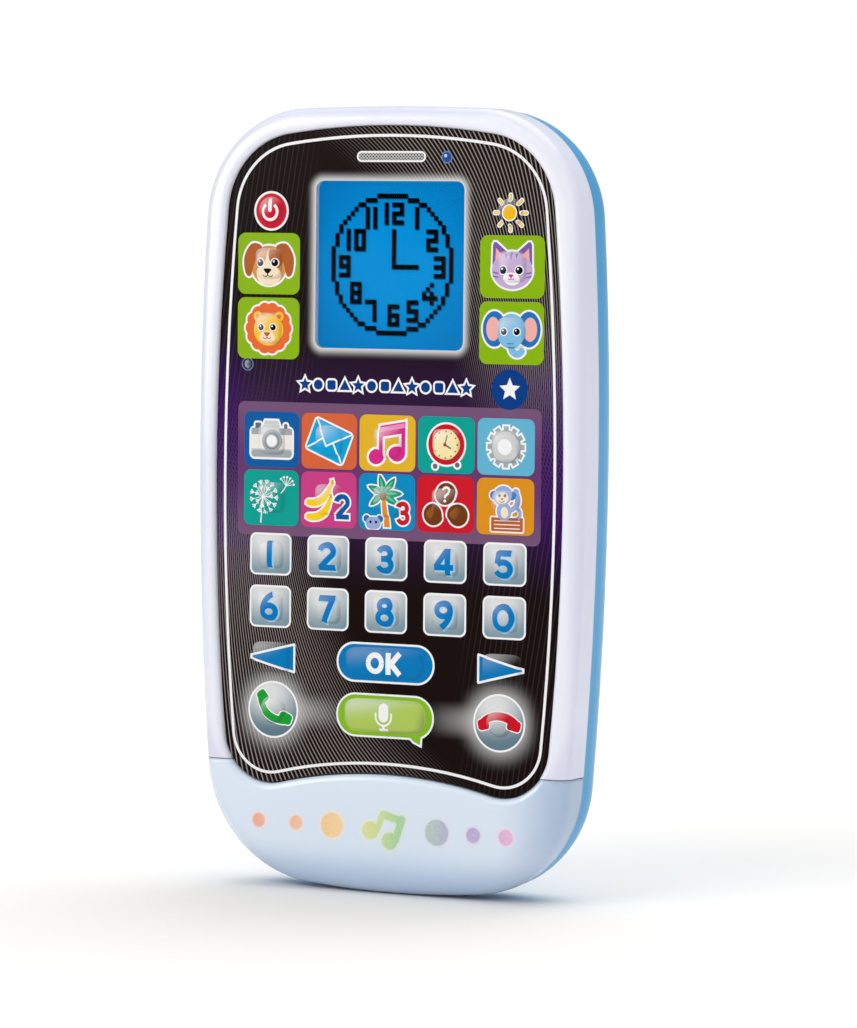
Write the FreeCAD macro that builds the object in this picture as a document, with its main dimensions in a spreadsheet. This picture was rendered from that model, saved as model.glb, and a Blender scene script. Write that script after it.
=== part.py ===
import FreeCAD, Part
import math
import os

import Sketcher
from FreeCAD import Placement, Rotation, Vector

# Toy cell phone. It stands upright: +Z up, the keys face -Y, the origin is under its middle.
# A "level" is a distance in front of the middle plane, so a point at level L has y = -L.

SIZES = [
    # alias, value in mm, what it is
    ("width", 91.6, "widest part of the casing"),
    ("height", 166.0, "lowest to highest point of the casing"),
    ("waist", 95.0, "height of the widest part"),
    ("side_upper", 750.0, "radius of the sides above the waist"),
    ("side_lower", 900.0, "radius of the sides below the waist"),
    ("top_arch", 600.0, "radius of the top edge"),
    ("top_corner", 24.0, "radius of the top corners"),
    ("bottom_arch", 205.0, "radius of the bottom edge"),
    ("bottom_corner", 25.0, "radius of the bottom corners"),
    ("face_width", 82.6, "widest part of the printed face"),
    ("face_waist", 88.0, "height of the widest part of the face"),
    ("face_side_upper", 640.0, "radius of the face's sides above its waist"),
    ("face_side_lower", 600.0, "radius of the face's sides below its waist"),
    ("face_top", 162.0, "height of the face's top"),
    ("face_top_arch", 165.0, "radius of the face's top edge"),
    ("face_top_corner", 17.0, "radius of the face's top corners"),
    ("face_bottom", 25.8, "height of the face's bottom at the middle"),
    ("face_bottom_arch", 105.0, "radius of the face's hollow bottom edge"),
    ("face_bottom_corner", 11.0, "radius of the face's bottom corners"),
    ("joint_height", 27.0, "height of the seam between front case and light cover"),
    ("rim_level", 11.0, "front of the rim"),
    ("film_level", 9.6, "front of the printed film"),
    ("plate_level", 9.35, "front of the face plate"),
    ("plate_back", 7.5, "back of the face plate"),
    ("seam_level", 2.5, "seam between front and rear case"),
    ("seam_step", 0.25, "the rear case is this much smaller all round"),
    ("back_level", -11.0, "flat back"),
    ("wall", 2.0, "casing wall"),
    ("rim_round", 2.75, "rounding of the rim's outer edge"),
    ("rim_inner_round", 1.1, "rounding of the rim's inner edge"),
    ("back_round", 10.5, "rounding of the back"),
    ("cover_wall", 1.6, "light cover wall"),
    ("cover_front", 9.6, "inside of the light cover's front"),
    ("cover_round", 6.5, "rounding of the light cover's bottom edge"),
    ("cover_lip_round", 1.0, "rounding of the light cover's lip at the face"),
    ("dome_level", 10.3, "top of the key domes"),
    ("dome_round", 0.6, "rounding of the key domes"),
    ("flange_level", 7.2, "front of the key flanges"),
    ("flange_back", 6.7, "back of the key flanges"),
    ("stem_back", 4.9, "back of the key stems"),
    ("flange_margin", 0.8, "key flange outside the dome"),
    ("stem_margin", -0.8, "key stem inside the dome"),
    ("key_gap", 0.25, "gap round a key"),
    ("mat_level", 5.8, "front of the key mat"),
    ("board_level", 4.2, "front of the main board"),
    ("board_back", 3.2, "back of the main board"),
    ("column_pitch", 13.95, "spacing of the five key columns"),
    ("animal_column", 28.9, "animal keys from the middle"),
    ("power_column", 28.4, "power and sun keys from the middle"),
    ("arrow_column", 27.5, "arrow keys from the middle"),
    ("call_column", 27.0, "call keys from the middle"),
    ("power_row", 143.95, "height of the power and sun keys"),
    ("animal_row_upper", 132.8, "height of the dog and cat keys"),
    ("animal_row_lower", 119.1, "height of the lion and elephant keys"),
    ("app_row_upper", 95.5, "height of the upper app keys"),
    ("app_row_lower", 83.1, "height of the lower app keys"),
    ("digit_row_upper", 71.1, "height of the keys 1 to 5"),
    ("digit_row_lower", 59.95, "height of the keys 6 to 0"),
    ("arrow_row", 49.1, "height of the arrow keys and OK"),
    ("call_row", 37.95, "height of the call and talk keys"),
    ("tile_dome", 6.6, "side of an app or animal key's dome"),
    ("tile_corner", 1.8, "corner of that dome"),
    ("digit_dome", 6.3, "side of a digit key's dome"),
    ("round_dome", 6.1, "diameter of a round key's dome"),
    ("arrow_dome_width", 9.3, "width of an arrow key's dome"),
    ("arrow_dome_height", 6.6, "height of an arrow key's dome"),
    ("arrow_corner", 2.0, "corner of that dome"),
    ("ok_dome_width", 19.0, "width of the OK key's dome"),
    ("ok_dome_height", 6.6, "height of the OK key's dome"),
    ("ok_corner", 3.0, "corner of that dome"),
    ("talk_dome_width", 19.4, "width of the talk key's dome"),
    ("talk_dome_height", 7.2, "height of the talk key's dome"),
    ("talk_corner", 2.8, "corner of that dome"),
    ("screen_row", 132.8, "height of the screen's middle"),
    ("screen_side", 35.2, "side of the screen's opening in the film"),
    ("screen_corner", 1.8, "corner of that opening"),
    ("glass_width", 40.0, "screen glass width"),
    ("glass_height", 41.0, "screen glass height"),
    ("lens_back", 8.95, "back of the screen lens"),
    ("glass_level", 8.0, "front of the screen glass"),
    ("glass_back", 6.0, "back of the screen glass"),
    ("light_row", 14.3, "height of the row of lights"),
    ("microphone_column", -33.9, "microphone hole from the middle"),
    ("microphone_row", 111.4, "height of the microphone hole"),
    ("case_screw", 2.9, "case screw shank diameter"),
    ("case_screw_head", 5.0, "case screw head diameter"),
    ("case_screw_seat", -2.0, "level of the case screw seats"),
    ("cell_diameter", 10.5, "AAA cell diameter"),
    ("cell_length", 44.5, "AAA cell length with its button"),
    ("cell_column", 5.85, "cells from the middle"),
    ("cell_level", -3.35, "level of the cell axes"),
    ("bay_low", 41.0, "bottom of the battery bay"),
    ("bay_high", 91.2, "top of the battery bay"),
    ("bay_half_width", 11.9, "half the width of the battery bay"),
    ("door_low", 36.7, "bottom of the battery cover"),
    ("door_high", 101.5, "top of the battery cover"),
    ("door_half_width", 15.5, "half the width of the battery cover"),
    ("door_level", -9.4, "inside of the battery cover"),
    ("door_gap", 0.2, "gap round the battery cover"),
    ("door_screw_row", 96.8, "height of the battery cover's screw"),
    ("speaker_row", 124.0, "height of the speaker"),
    ("speaker_radius", 13.5, "speaker frame radius"),
    ("wire_radius", 0.5, "insulated wire radius"),
    ("weld", 0.1, "overlap of two pads that join"),
    ("cover_gap", 0.15, "gap between light cover and front case"),
    ("back_inner", -9.2, "inside of the flat back"),
    ("back_inner_round", 8.6, "rounding inside the back"),
    ("cover_inner_round", 4.6, "rounding inside the light cover"),
]

SCREW_PLACES = [(30.0, 153.0), (39.0, 104.0), (39.0, 58.0), (36.0, 18.0)]
BOARD_SCREW_PLACES = [(28.9, 125.95), (20.9, 65.5)]
LAMP_COLUMNS = [-29.5, -20.9, -12.2, 0.8, 12.6, 21.3, 29.5]

doc = FreeCAD.newDocument("toy_cell_phone")
sheet = doc.addObject("Spreadsheet::Sheet", "Sizes")
for row, (alias, value, note) in enumerate(SIZES, 1):
    sheet.set(f"A{row}", note)
    sheet.set(f"B{row}", str(value))
    sheet.setAlias(f"B{row}", alias)
doc.recompute()


def size(alias):
    return float(sheet.get(alias))


def at(x, y):
    return Vector(x, y, 0)


# ---------------------------------------------------------------- sketches and features

def origin_plane(body, role):
    return next(item for item in body.Origin.OriginFeatures if item.Role == role)


def new_body(label):
    body = doc.addObject("PartDesign::Body", label)
    body.Label = label
    return body


def front_sketch(body, name, level):
    """An empty sketch that faces the front, at the level that the expression gives."""
    sketch = body.newObject("Sketcher::SketchObject", name)
    sketch.AttachmentSupport = [(origin_plane(body, "XZ_Plane"), "")]
    sketch.MapMode = "FlatFace"
    sketch.setExpression("AttachmentOffset.Base.z", level)
    return sketch


def slab(body, name, draw, low, high):
    """Pad what draw puts in the sketch, from the low level forward to the high one."""
    sketch = front_sketch(body, name + "_sketch", low)
    draw(sketch)
    pad = body.newObject("PartDesign::Pad", name)
    pad.Profile = sketch
    pad.setExpression("Length", f"({high}) - ({low})")
    return pad


def recess(body, name, draw, low, high):
    """Cut what draw puts in the sketch, from the high level back to the low one."""
    sketch = front_sketch(body, name + "_sketch", high)
    draw(sketch)
    pocket = body.newObject("PartDesign::Pocket", name)
    pocket.Profile = sketch
    pocket.setExpression("Length", f"({high}) - ({low})")
    return pocket


def round_edges(body, name, level, radius, wanted):
    """Fillet the edges of the body's tip that lie at the level and whose middle is wanted."""
    doc.recompute()
    base = body.Tip
    fillet = body.newObject("PartDesign::Fillet", name)
    fillet.Base = (base, edges_at(base.Shape, size(level), wanted))
    fillet.setExpression("Radius", f"Sizes.{radius}")
    return fillet


def edges_at(shape, level, wanted):
    names = []
    for number, edge in enumerate(shape.Edges, 1):
        box = edge.BoundBox
        flat = abs(box.YMin + level) < 1e-3 and abs(box.YMax + level) < 1e-3
        if flat and wanted(edge.CenterOfMass):
            names.append(f"Edge{number}")
    return names


def circle_at(sketch, x, z, radius):
    sketch.addGeometry(Part.Circle(at(x, z), Vector(0, 0, 1), radius))


def rectangle_at(sketch, x, z, width, height, corner):
    """Rounded rectangle about a point."""
    half_w, half_h = width / 2, height / 2
    shape = []
    for turn, (sx, sz) in enumerate([(1, 1), (-1, 1), (-1, -1), (1, -1)]):
        centre = at(x + sx * (half_w - corner), z + sz * (half_h - corner))
        start = math.radians(90 * turn)
        shape.append((centre, start))
    points = []
    for centre, start in shape:
        arc = [centre + corner * at(math.cos(start + a), math.sin(start + a)) for a in
               (0, math.pi / 4, math.pi / 2)]
        sketch.addGeometry(Part.Arc(*arc))
        points.append((arc[0], arc[2]))
    for index in range(4):
        sketch.addGeometry(Part.LineSegment(points[index - 1][1], points[index][0]))


# ---------------------------------------------------------------- outlines

class Outline:
    """A symmetric outline of tangent arcs. Its right half runs from the top down to the bottom."""

    def __init__(self, half_width, waist, side_upper, side_lower, top, top_arch, top_corner,
                 bottom, bottom_arch, bottom_corner):
        self.upper = (at(half_width - side_upper, waist), side_upper)
        self.lower = (at(half_width - side_lower, waist), side_lower)
        self.top = (at(0, top - top_arch), top_arch)
        hollow = bottom_arch < 0
        self.bottom = (at(0, bottom + bottom_arch), abs(bottom_arch))
        self.bottom_sign = -1 if hollow else 1
        self.top_corner = (meet(self.upper[0], side_upper - top_corner,
                                self.top[0], top_arch - top_corner, 1), top_corner)
        reach = abs(bottom_arch) - self.bottom_sign * bottom_corner
        self.bottom_corner = (meet(self.lower[0], side_lower - bottom_corner,
                                   self.bottom[0], reach, -self.bottom_sign), bottom_corner)

    def touch(self, big, small, inset, sign=1):
        """Point where the big arc runs into the corner arc, both inset."""
        away = (small[0] - big[0]).normalize()
        return big[0] + away * (big[1] - sign * inset)

    def half(self, inset=0.0):
        """The right half as arcs (start, middle, end) from the top down."""
        top_middle = self.top[0] + at(0, self.top[1] - inset)
        top_end = self.touch(self.top, self.top_corner, inset)
        side_start = self.touch(self.upper, self.top_corner, inset)
        waist = self.upper[0] + at(self.upper[1] - inset, 0)
        side_end = self.touch(self.lower, self.bottom_corner, inset)
        sign = self.bottom_sign
        bottom_start = self.touch(self.bottom, self.bottom_corner, inset, sign)
        bottom_middle = self.bottom[0] - at(0, sign * (self.bottom[1] - sign * inset))
        return [
            arc_about(self.top[0], top_middle, top_end),
            arc_about(self.top_corner[0], top_end, side_start),
            arc_about(self.upper[0], side_start, waist),
            arc_about(self.lower[0], waist, side_end),
            arc_about(self.bottom_corner[0], side_end, bottom_start),
            arc_about(self.bottom[0], bottom_start, bottom_middle),
        ]


def meet(first, first_radius, second, second_radius, side):
    """Where two circles cross, right of the middle; side says above or below."""
    apart = second - first
    distance = apart.Length
    along = (distance ** 2 + first_radius ** 2 - second_radius ** 2) / (2 * distance)
    across = math.sqrt(first_radius ** 2 - along ** 2)
    unit = apart / distance
    base = first + unit * along
    normal = at(-unit.y, unit.x)
    both = [base + normal * across, base - normal * across]
    return max(both, key=lambda point: point.x)


def arc_about(centre, start, end):
    radius = (start - centre).Length
    middle = ((start + end) / 2 - centre).normalize()
    return (start, centre + middle * radius, end, centre)


def cross_arc(arc, height):
    start, _, end, centre = arc
    radius = (start - centre).Length
    rise = height - centre.y
    return centre + at(math.sqrt(radius ** 2 - rise ** 2), rise)


def above(outline, inset, height, index):
    """The half outline down to a height that lies on the arc with this index."""
    arcs = outline.half(inset)
    start, _, _, centre = arcs[index]
    return arcs[:index] + [arc_about(centre, start, cross_arc(arcs[index], height))]


def below(outline, inset, height, index):
    """The half outline from a height that lies on the arc with this index, down."""
    arcs = outline.half(inset)
    _, _, end, centre = arcs[index]
    return [arc_about(centre, cross_arc(arcs[index], height), end)] + arcs[index + 1:]


def draw_halves(first, second, first_end, second_end):
    """Two half chains and their mirror images, joined on each side by a straight line."""
    def draw(sketch):
        for chain in (first, second):
            for arc in chain:
                sketch.addGeometry(Part.Arc(*arc[:3]))
                sketch.addGeometry(Part.Arc(*[flip(point) for point in reversed(arc[:3])]))
        sketch.addGeometry(Part.LineSegment(first_end, second_end))
        sketch.addGeometry(Part.LineSegment(flip(first_end), flip(second_end)))
    return draw


def flip(point):
    return at(-point.x, point.y)


def draw_closed(outline, inset):
    def draw(sketch):
        for arc in outline.half(inset):
            sketch.addGeometry(Part.Arc(*arc[:3]))
            sketch.addGeometry(Part.Arc(*[flip(point) for point in reversed(arc[:3])]))
    return draw


def draw_front(case_inset, face_inset, height):
    """Rim region above a height, and the face region below it."""
    upper = above(CASE, case_inset, height, SIDE_ARC)
    lower = below(FACE, face_inset, height, FACE_CORNER_ARC)
    return draw_halves(upper, lower, upper[-1][2], lower[0][0])


def draw_foot(case_inset, face_inset, height):
    """Region of the bottom end below a height, outside the face."""
    outer = below(CASE, case_inset, height, SIDE_ARC)
    inner = below(FACE, face_inset, height, FACE_CORNER_ARC)
    return draw_halves(outer, inner, outer[0][0], inner[0][0])


SIDE_ARC = 3
FACE_CORNER_ARC = 4
CASE = Outline(size("width") / 2, size("waist"), size("side_upper"), size("side_lower"),
               size("height"), size("top_arch"), size("top_corner"),
               0.0, size("bottom_arch"), size("bottom_corner"))
FACE = Outline(size("face_width") / 2, size("face_waist"), size("face_side_upper"),
               size("face_side_lower"), size("face_top"), size("face_top_arch"),
               size("face_top_corner"), size("face_bottom"), -size("face_bottom_arch"),
               size("face_bottom_corner"))


# ---------------------------------------------------------------- keys

# name: (factor, column, row, dome width, dome height or None when round, corner)
# A key's middle is at the factor times the column.
def tile(factor, column, row):
    return (factor, column, row, "tile_dome", "tile_dome", "tile_corner")


def digit(factor, row):
    return (factor, "column_pitch", row, "digit_dome", "digit_dome", "tile_corner")


def round_key(factor, column, row):
    return (factor, column, row, "round_dome", None, None)


def arrow(factor):
    return (factor, "arrow_column", "arrow_row", "arrow_dome_width", "arrow_dome_height",
            "arrow_corner")


KEYS = {
    "key_power": round_key(-1, "power_column", "power_row"),
    "key_sun": round_key(1, "power_column", "power_row"),
    "key_dog": tile(-1, "animal_column", "animal_row_upper"),
    "key_lion": tile(-1, "animal_column", "animal_row_lower"),
    "key_cat": tile(1, "animal_column", "animal_row_upper"),
    "key_elephant": tile(1, "animal_column", "animal_row_lower"),
    "key_arrow_left": arrow(-1),
    "key_arrow_right": arrow(1),
    "key_ok": (0, "column_pitch", "arrow_row", "ok_dome_width", "ok_dome_height", "ok_corner"),
    "key_talk": (0, "column_pitch", "call_row", "talk_dome_width", "talk_dome_height",
                 "talk_corner"),
    "key_call": round_key(-1, "call_column", "call_row"),
    "key_hang_up": round_key(1, "call_column", "call_row"),
}
APP_ROWS = {
    "app_row_upper": ["camera", "mail", "music", "alarm", "settings"],
    "app_row_lower": ["dandelion", "bananas", "palm", "coconuts", "monkey"],
}
DIGIT_ROWS = {"digit_row_upper": "12345", "digit_row_lower": "67890"}
for row, names in APP_ROWS.items():
    for place, name in enumerate(names):
        KEYS["key_" + name] = tile(place - 2, "column_pitch", row)
for row, digits in DIGIT_ROWS.items():
    for place, name in enumerate(digits):
        KEYS["key_" + name] = digit(place - 2, row)


def draw_key_holes(margin):
    """Every key's dome outline, grown by the margin."""
    def draw(sketch):
        for factor, column, row, width, height, corner in KEYS.values():
            x, z = factor * size(column), size(row)
            if height is None:
                circle_at(sketch, x, z, size(width) / 2 + margin)
            else:
                rectangle_at(sketch, x, z, size(width) + 2 * margin, size(height) + 2 * margin,
                             size(corner) + margin)
    return draw


def draw_key(width, height, corner, margin):
    """A key's own outline about the sketch origin, bound to the sheet and grown by a margin."""
    grow = size(margin) if margin else 0.0
    more = f" + 2 * Sizes.{margin}" if margin else ""

    def draw_round(sketch):
        radius = size(width) / 2 + grow
        sketch.addGeometry(Part.Circle(at(0, 0), Vector(0, 0, 1), radius))
        sketch.addConstraint(Sketcher.Constraint("Coincident", 0, 3, -1, 1))
        sketch.addConstraint(Sketcher.Constraint("Diameter", 0, 2 * radius))
        sketch.setExpression("Constraints[1]", f"Sizes.{width}{more}")

    def draw_rectangle(sketch):
        rectangle_at(sketch, 0, 0, size(width) + 2 * grow, size(height) + 2 * grow,
                     size(corner) + grow)
        for index in range(4):
            sketch.addConstraint(Sketcher.Constraint("Tangent", 4 + index, 1, (index - 1) % 4, 2))
            sketch.addConstraint(Sketcher.Constraint("Tangent", 4 + index, 2, index, 1))
        sketch.addConstraint(Sketcher.Constraint("Horizontal", 5))
        sketch.addConstraint(Sketcher.Constraint("Vertical", 4))
        sketch.addConstraint(Sketcher.Constraint("Equal", 0, 1))
        sketch.addConstraint(Sketcher.Constraint("Equal", 0, 2))
        sketch.addConstraint(Sketcher.Constraint("Symmetric", 0, 3, 2, 3, -1, 1))
        corner_size = sketch.addConstraint(Sketcher.Constraint("Radius", 0, size(corner) + grow))
        across = sketch.addConstraint(Sketcher.Constraint(
            "DistanceX", 1, 3, 0, 3, size(width) - 2 * size(corner)))
        upright = sketch.addConstraint(Sketcher.Constraint(
            "DistanceY", 3, 3, 0, 3, size(height) - 2 * size(corner)))
        sketch.setExpression(f"Constraints[{corner_size}]",
                             f"Sizes.{corner}" + (f" + Sizes.{margin}" if margin else ""))
        sketch.setExpression(f"Constraints[{across}]", f"Sizes.{width} - 2 * Sizes.{corner}")
        sketch.setExpression(f"Constraints[{upright}]", f"Sizes.{height} - 2 * Sizes.{corner}")

    return draw_round if height is None else draw_rectangle


def make_key(label, factor, column, row, width, height, corner):
    """Silicone key: a domed cap, a flange that keeps it in, and a stem with its contact."""
    body = new_body(label)
    slab(body, label + "_stem", draw_key(width, height, corner, "stem_margin"),
         "Sizes.stem_back", "Sizes.flange_back + Sizes.weld")
    slab(body, label + "_flange", draw_key(width, height, corner, "flange_margin"),
         "Sizes.flange_back", "Sizes.flange_level")
    slab(body, label + "_cap", draw_key(width, height, corner, None),
         "Sizes.flange_level - Sizes.weld", "Sizes.dome_level")
    round_edges(body, label + "_dome", "dome_level", "dome_round", lambda middle: True)
    body.setExpression("Placement.Base.x", f"{factor} * Sizes.{column}")
    body.setExpression("Placement.Base.z", f"Sizes.{row}")
    return body


keys = [make_key(label, *values) for label, values in KEYS.items()]


# ---------------------------------------------------------------- front case

FILM_GAP = 0.1
FACE_WALL = 1.6
SCREW_GAP = 0.05
BOSS_RADIUS = 3.5
BOARD_BOSS_RADIUS = 2.0
BOARD_SCREW = 1.0
MICROPHONE_HOLE = 0.9
SCREEN_HOLE = (43.0, 44.0, 1.0)
LENS_SEAT = (45.2, 46.2, 1.5)


def draw_circles(places, radius):
    """Circles at each place and at its mirror image."""
    def draw(sketch):
        for x, z in places:
            circle_at(sketch, x, z, radius)
            circle_at(sketch, -x, z, radius)
    return draw


def draw_screen(width, height, corner):
    def draw(sketch):
        rectangle_at(sketch, 0, size("screen_row"), width, height, corner)
    return draw


def make_front_case():
    body = new_body("front_case")
    joint = size("joint_height")
    wall = size("wall")
    slab(body, "shell", draw_front(0, 0, joint), "Sizes.seam_level", "Sizes.rim_level")
    round_edges(body, "rim_edge", "rim_level", "rim_round",
                lambda middle: middle.z > joint + 1 and near_case(middle))
    recess(body, "face_recess", draw_closed(FACE, -FILM_GAP), "Sizes.plate_level",
           "Sizes.rim_level")
    round_edges(body, "rim_inner_edge", "rim_level", "rim_inner_round",
                lambda middle: middle.z > joint + 1 and not near_case(middle))
    recess(body, "hollow", draw_front(wall, FACE_WALL, joint + wall), "Sizes.seam_level",
           "Sizes.plate_back")
    recess(body, "key_holes", draw_key_holes(size("key_gap")), "Sizes.plate_back",
           "Sizes.rim_level")
    recess(body, "screen_hole", draw_screen(*SCREEN_HOLE), "Sizes.plate_back",
           "Sizes.rim_level")
    recess(body, "lens_seat", draw_screen(*LENS_SEAT), "Sizes.lens_back", "Sizes.rim_level")
    recess(body, "microphone_hole",
           lambda sketch: circle_at(sketch, size("microphone_column"), size("microphone_row"),
                                    MICROPHONE_HOLE), "Sizes.plate_back", "Sizes.rim_level")
    slab(body, "bosses", draw_circles(SCREW_PLACES[:3], BOSS_RADIUS), "Sizes.seam_level",
         "Sizes.plate_back + Sizes.weld")
    slab(body, "board_bosses", draw_circles(BOARD_SCREW_PLACES, BOARD_BOSS_RADIUS),
         "Sizes.board_level", "Sizes.plate_back + Sizes.weld")
    recess(body, "boss_holes", draw_circles(SCREW_PLACES[:3], size("case_screw") / 2 + SCREW_GAP),
           "Sizes.seam_level", "Sizes.plate_back")
    recess(body, "board_boss_holes", draw_circles(BOARD_SCREW_PLACES, BOARD_SCREW + SCREW_GAP),
           "Sizes.board_level", "Sizes.plate_back")
    return body


def near_case(middle):
    """True for a point near the casing's outline, false for one near the face's."""
    half_face = size("face_width") / 2
    return abs(middle.x) > half_face + 1 or middle.z > size("face_top") + 1 or (
        middle.z > size("waist") and math.hypot(abs(middle.x) - 21, middle.z - 142) > 21)


front_case = make_front_case()


# ---------------------------------------------------------------- face and screen

HOLDER_LEVEL = "Sizes.lens_back - 0.05"


def draw_circle(x, z, radius):
    return lambda sketch: circle_at(sketch, x, z, radius)


def draw_rectangle(x, z, width, height, corner):
    return lambda sketch: rectangle_at(sketch, x, z, width, height, corner)


def draw_pair(x, z, width, height, corner):
    """A rounded rectangle and its mirror image."""
    def draw(sketch):
        rectangle_at(sketch, x, z, width, height, corner)
        rectangle_at(sketch, -x, z, width, height, corner)
    return draw


def at_microphone(radius):
    return draw_circle(size("microphone_column"), size("microphone_row"), radius)


def make_face_label():
    body = new_body("face_label")
    slab(body, "film", draw_closed(FACE, 0), "Sizes.plate_level", "Sizes.film_level")
    recess(body, "film_key_holes", draw_key_holes(size("key_gap")), "Sizes.plate_level",
           "Sizes.film_level")
    side = size("screen_side")
    recess(body, "film_window", draw_screen(side, side, size("screen_corner")),
           "Sizes.plate_level", "Sizes.film_level")
    recess(body, "film_microphone_hole", at_microphone(MICROPHONE_HOLE), "Sizes.plate_level",
           "Sizes.film_level")
    return body


def make_screen_stack():
    """Lens, glass, backlight, contact strip and the frame that holds them, front to back."""
    lens = new_body("screen_lens")
    slab(lens, "lens", draw_screen(44.8, 45.8, 1.3), "Sizes.lens_back", "Sizes.plate_level")
    holder = new_body("screen_holder")
    slab(holder, "frame", draw_screen(42.6, 43.6, 0.8), "Sizes.board_level", HOLDER_LEVEL)
    recess(holder, "glass_room", draw_screen(40.4, 41.4, 0.4), "Sizes.board_level",
           "Sizes.glass_level")
    recess(holder, "frame_window", draw_screen(35.5, 35.5, 1.9), "Sizes.glass_level",
           HOLDER_LEVEL)
    glass = new_body("screen_glass")
    slab(glass, "glass", draw_screen(size("glass_width"), size("glass_height"), 0.3),
         "Sizes.glass_back", "Sizes.glass_level")
    backlight = new_body("backlight")
    slab(backlight, "light_block", draw_rectangle(0, size("screen_row") + 2, 38, 36, 0.5),
         "Sizes.board_level + Sizes.weld", "Sizes.glass_back - Sizes.weld")
    strip = new_body("screen_contact_strip")
    slab(strip, "strip", draw_rectangle(0, size("screen_row") - 18.6, 34, 1.6, 0.2),
         "Sizes.board_level", "Sizes.glass_back")
    return [lens, holder, glass, backlight, strip]


face_label = make_face_label()
screen_stack = make_screen_stack()


# ---------------------------------------------------------------- board, mat, microphone

BOOT_FRONT = "Sizes.plate_back - 0.65"


# chips on the back of the board: x, z, width, height
CHIPS = [(-24, 104, 9, 9), (23, 101, 6, 4.4), (25, 112, 4, 3), (-25, 117, 3.4, 5), (22, 48, 5, 3)]


def make_main_board():
    body = new_body("main_board")
    slab(body, "board", draw_rectangle(0, 90, 68.6, 118, 3), "Sizes.board_back",
         "Sizes.board_level")
    for number, chip in enumerate(CHIPS, 1):
        slab(body, f"chip_{number}", draw_rectangle(*chip, 0.3), "Sizes.board_back - 1.2",
             "Sizes.board_back + Sizes.weld")
    recess(body, "board_screw_holes", draw_circles(BOARD_SCREW_PLACES, BOARD_SCREW + 2 * SCREW_GAP),
           "Sizes.board_back", "Sizes.board_level")
    return body


def make_key_mat():
    """Silicone web between the keys, lying on the board."""
    body = new_body("key_mat")
    slab(body, "web", draw_rectangle(0, 90.25, 68, 116.5, 3), "Sizes.board_level",
         "Sizes.mat_level")
    recess(body, "stem_holes", draw_key_holes(size("stem_margin") + 0.3), "Sizes.board_level",
           "Sizes.mat_level")
    recess(body, "screen_notch", draw_rectangle(0, 134, 44, 48.4, 1), "Sizes.board_level",
           "Sizes.mat_level")
    recess(body, "mat_boss_holes", draw_circles(BOARD_SCREW_PLACES, BOARD_BOSS_RADIUS + 0.3),
           "Sizes.board_level", "Sizes.mat_level")
    recess(body, "mat_microphone_hole", at_microphone(3.5), "Sizes.board_level",
           "Sizes.mat_level")
    return body


def make_microphone():
    capsule = new_body("microphone")
    slab(capsule, "capsule", at_microphone(2.6), "Sizes.board_level", BOOT_FRONT)
    boot = new_body("microphone_boot")
    slab(boot, "boot", at_microphone(3.2), "Sizes.board_level", "Sizes.plate_back")
    recess(boot, "boot_room", at_microphone(2.65), "Sizes.board_level", BOOT_FRONT)
    recess(boot, "boot_hole", at_microphone(MICROPHONE_HOLE), BOOT_FRONT, "Sizes.plate_back")
    return [capsule, boot]


main_board = make_main_board()
key_mat = make_key_mat()
microphone_parts = make_microphone()


# ---------------------------------------------------------------- light cover and its lights

COVER_FACE_GAP = 0.25
COVER_LIP_WALL = 1.2
COVER_SIDE_END = 21.0
COVER_BOSS_RADIUS = 3.0
LIGHT_BOARD_BACK = "Sizes.seam_level + 0.9"
LIGHT_BOARD_FRONT = "Sizes.seam_level + 1.9"


def make_light_cover():
    """Bottom shell; its outer edge is rounded more and more from the seam to the bottom."""
    block = new_body("light_cover_block")
    top = size("joint_height") - size("cover_gap")
    slab(block, "cover_block", draw_foot(0, -COVER_FACE_GAP, top), "Sizes.seam_level",
         "Sizes.rim_level")
    doc.recompute()
    rounded = doc.addObject("Part::Fillet", "light_cover_rounded")
    rounded.Base = block
    rounded.Edges = cover_roundings(block.Shape)
    wall = size("cover_wall")
    room = new_body("light_cover_room")
    slab(room, "cover_room", draw_foot(wall, -COVER_FACE_GAP - COVER_LIP_WALL, top - wall),
         "Sizes.seam_level - Sizes.weld", "Sizes.cover_front")
    round_edges(room, "cover_room_edge", "cover_front", "cover_inner_round", in_cover_edge)
    shell = doc.addObject("Part::Cut", "light_cover_shell")
    shell.Base = rounded
    shell.Tool = room
    body = new_body("light_cover")
    body.BaseFeature = shell
    slab(body, "cover_bosses", draw_circles(SCREW_PLACES[3:], COVER_BOSS_RADIUS),
         "Sizes.seam_level", "Sizes.cover_front + Sizes.weld")
    recess(body, "cover_boss_holes",
           draw_circles(SCREW_PLACES[3:], size("case_screw") / 2 + SCREW_GAP),
           "Sizes.seam_level", "Sizes.cover_front - 1")
    return body


def in_cover_edge(middle):
    """True for the outer edge of the cover, below its top ends."""
    return middle.z < 5 or abs(middle.x) > 38 and middle.z < COVER_SIDE_END


def cover_roundings(shape):
    """Edge number and radius at its two ends, for each edge of the cover's front face."""
    rounds = []
    for name in edges_at(shape, size("rim_level"), lambda middle: True):
        number = int(name[4:])
        edge = shape.Edges[number - 1]
        middle = edge.CenterOfMass
        outer = middle.z < COVER_SIDE_END or abs(middle.x) > size("face_width") / 2
        if edge.Curve.TypeId == "Part::GeomLine":
            continue
        if outer:
            ends = [outer_round(vertex.Point) for vertex in
                    (edge.firstVertex(True), edge.lastVertex(True))]
            rounds.append((number, *ends))
        else:
            rounds.append((number, size("cover_lip_round"), size("cover_lip_round")))
    return rounds


def outer_round(point):
    """Rounding of the cover's outer edge: the rim's at the seam, full at the bottom."""
    share = min(1.0, (size("joint_height") - point.z) / (size("joint_height") - 1.5))
    return size("rim_round") + (size("cover_round") - size("rim_round")) * share


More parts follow.
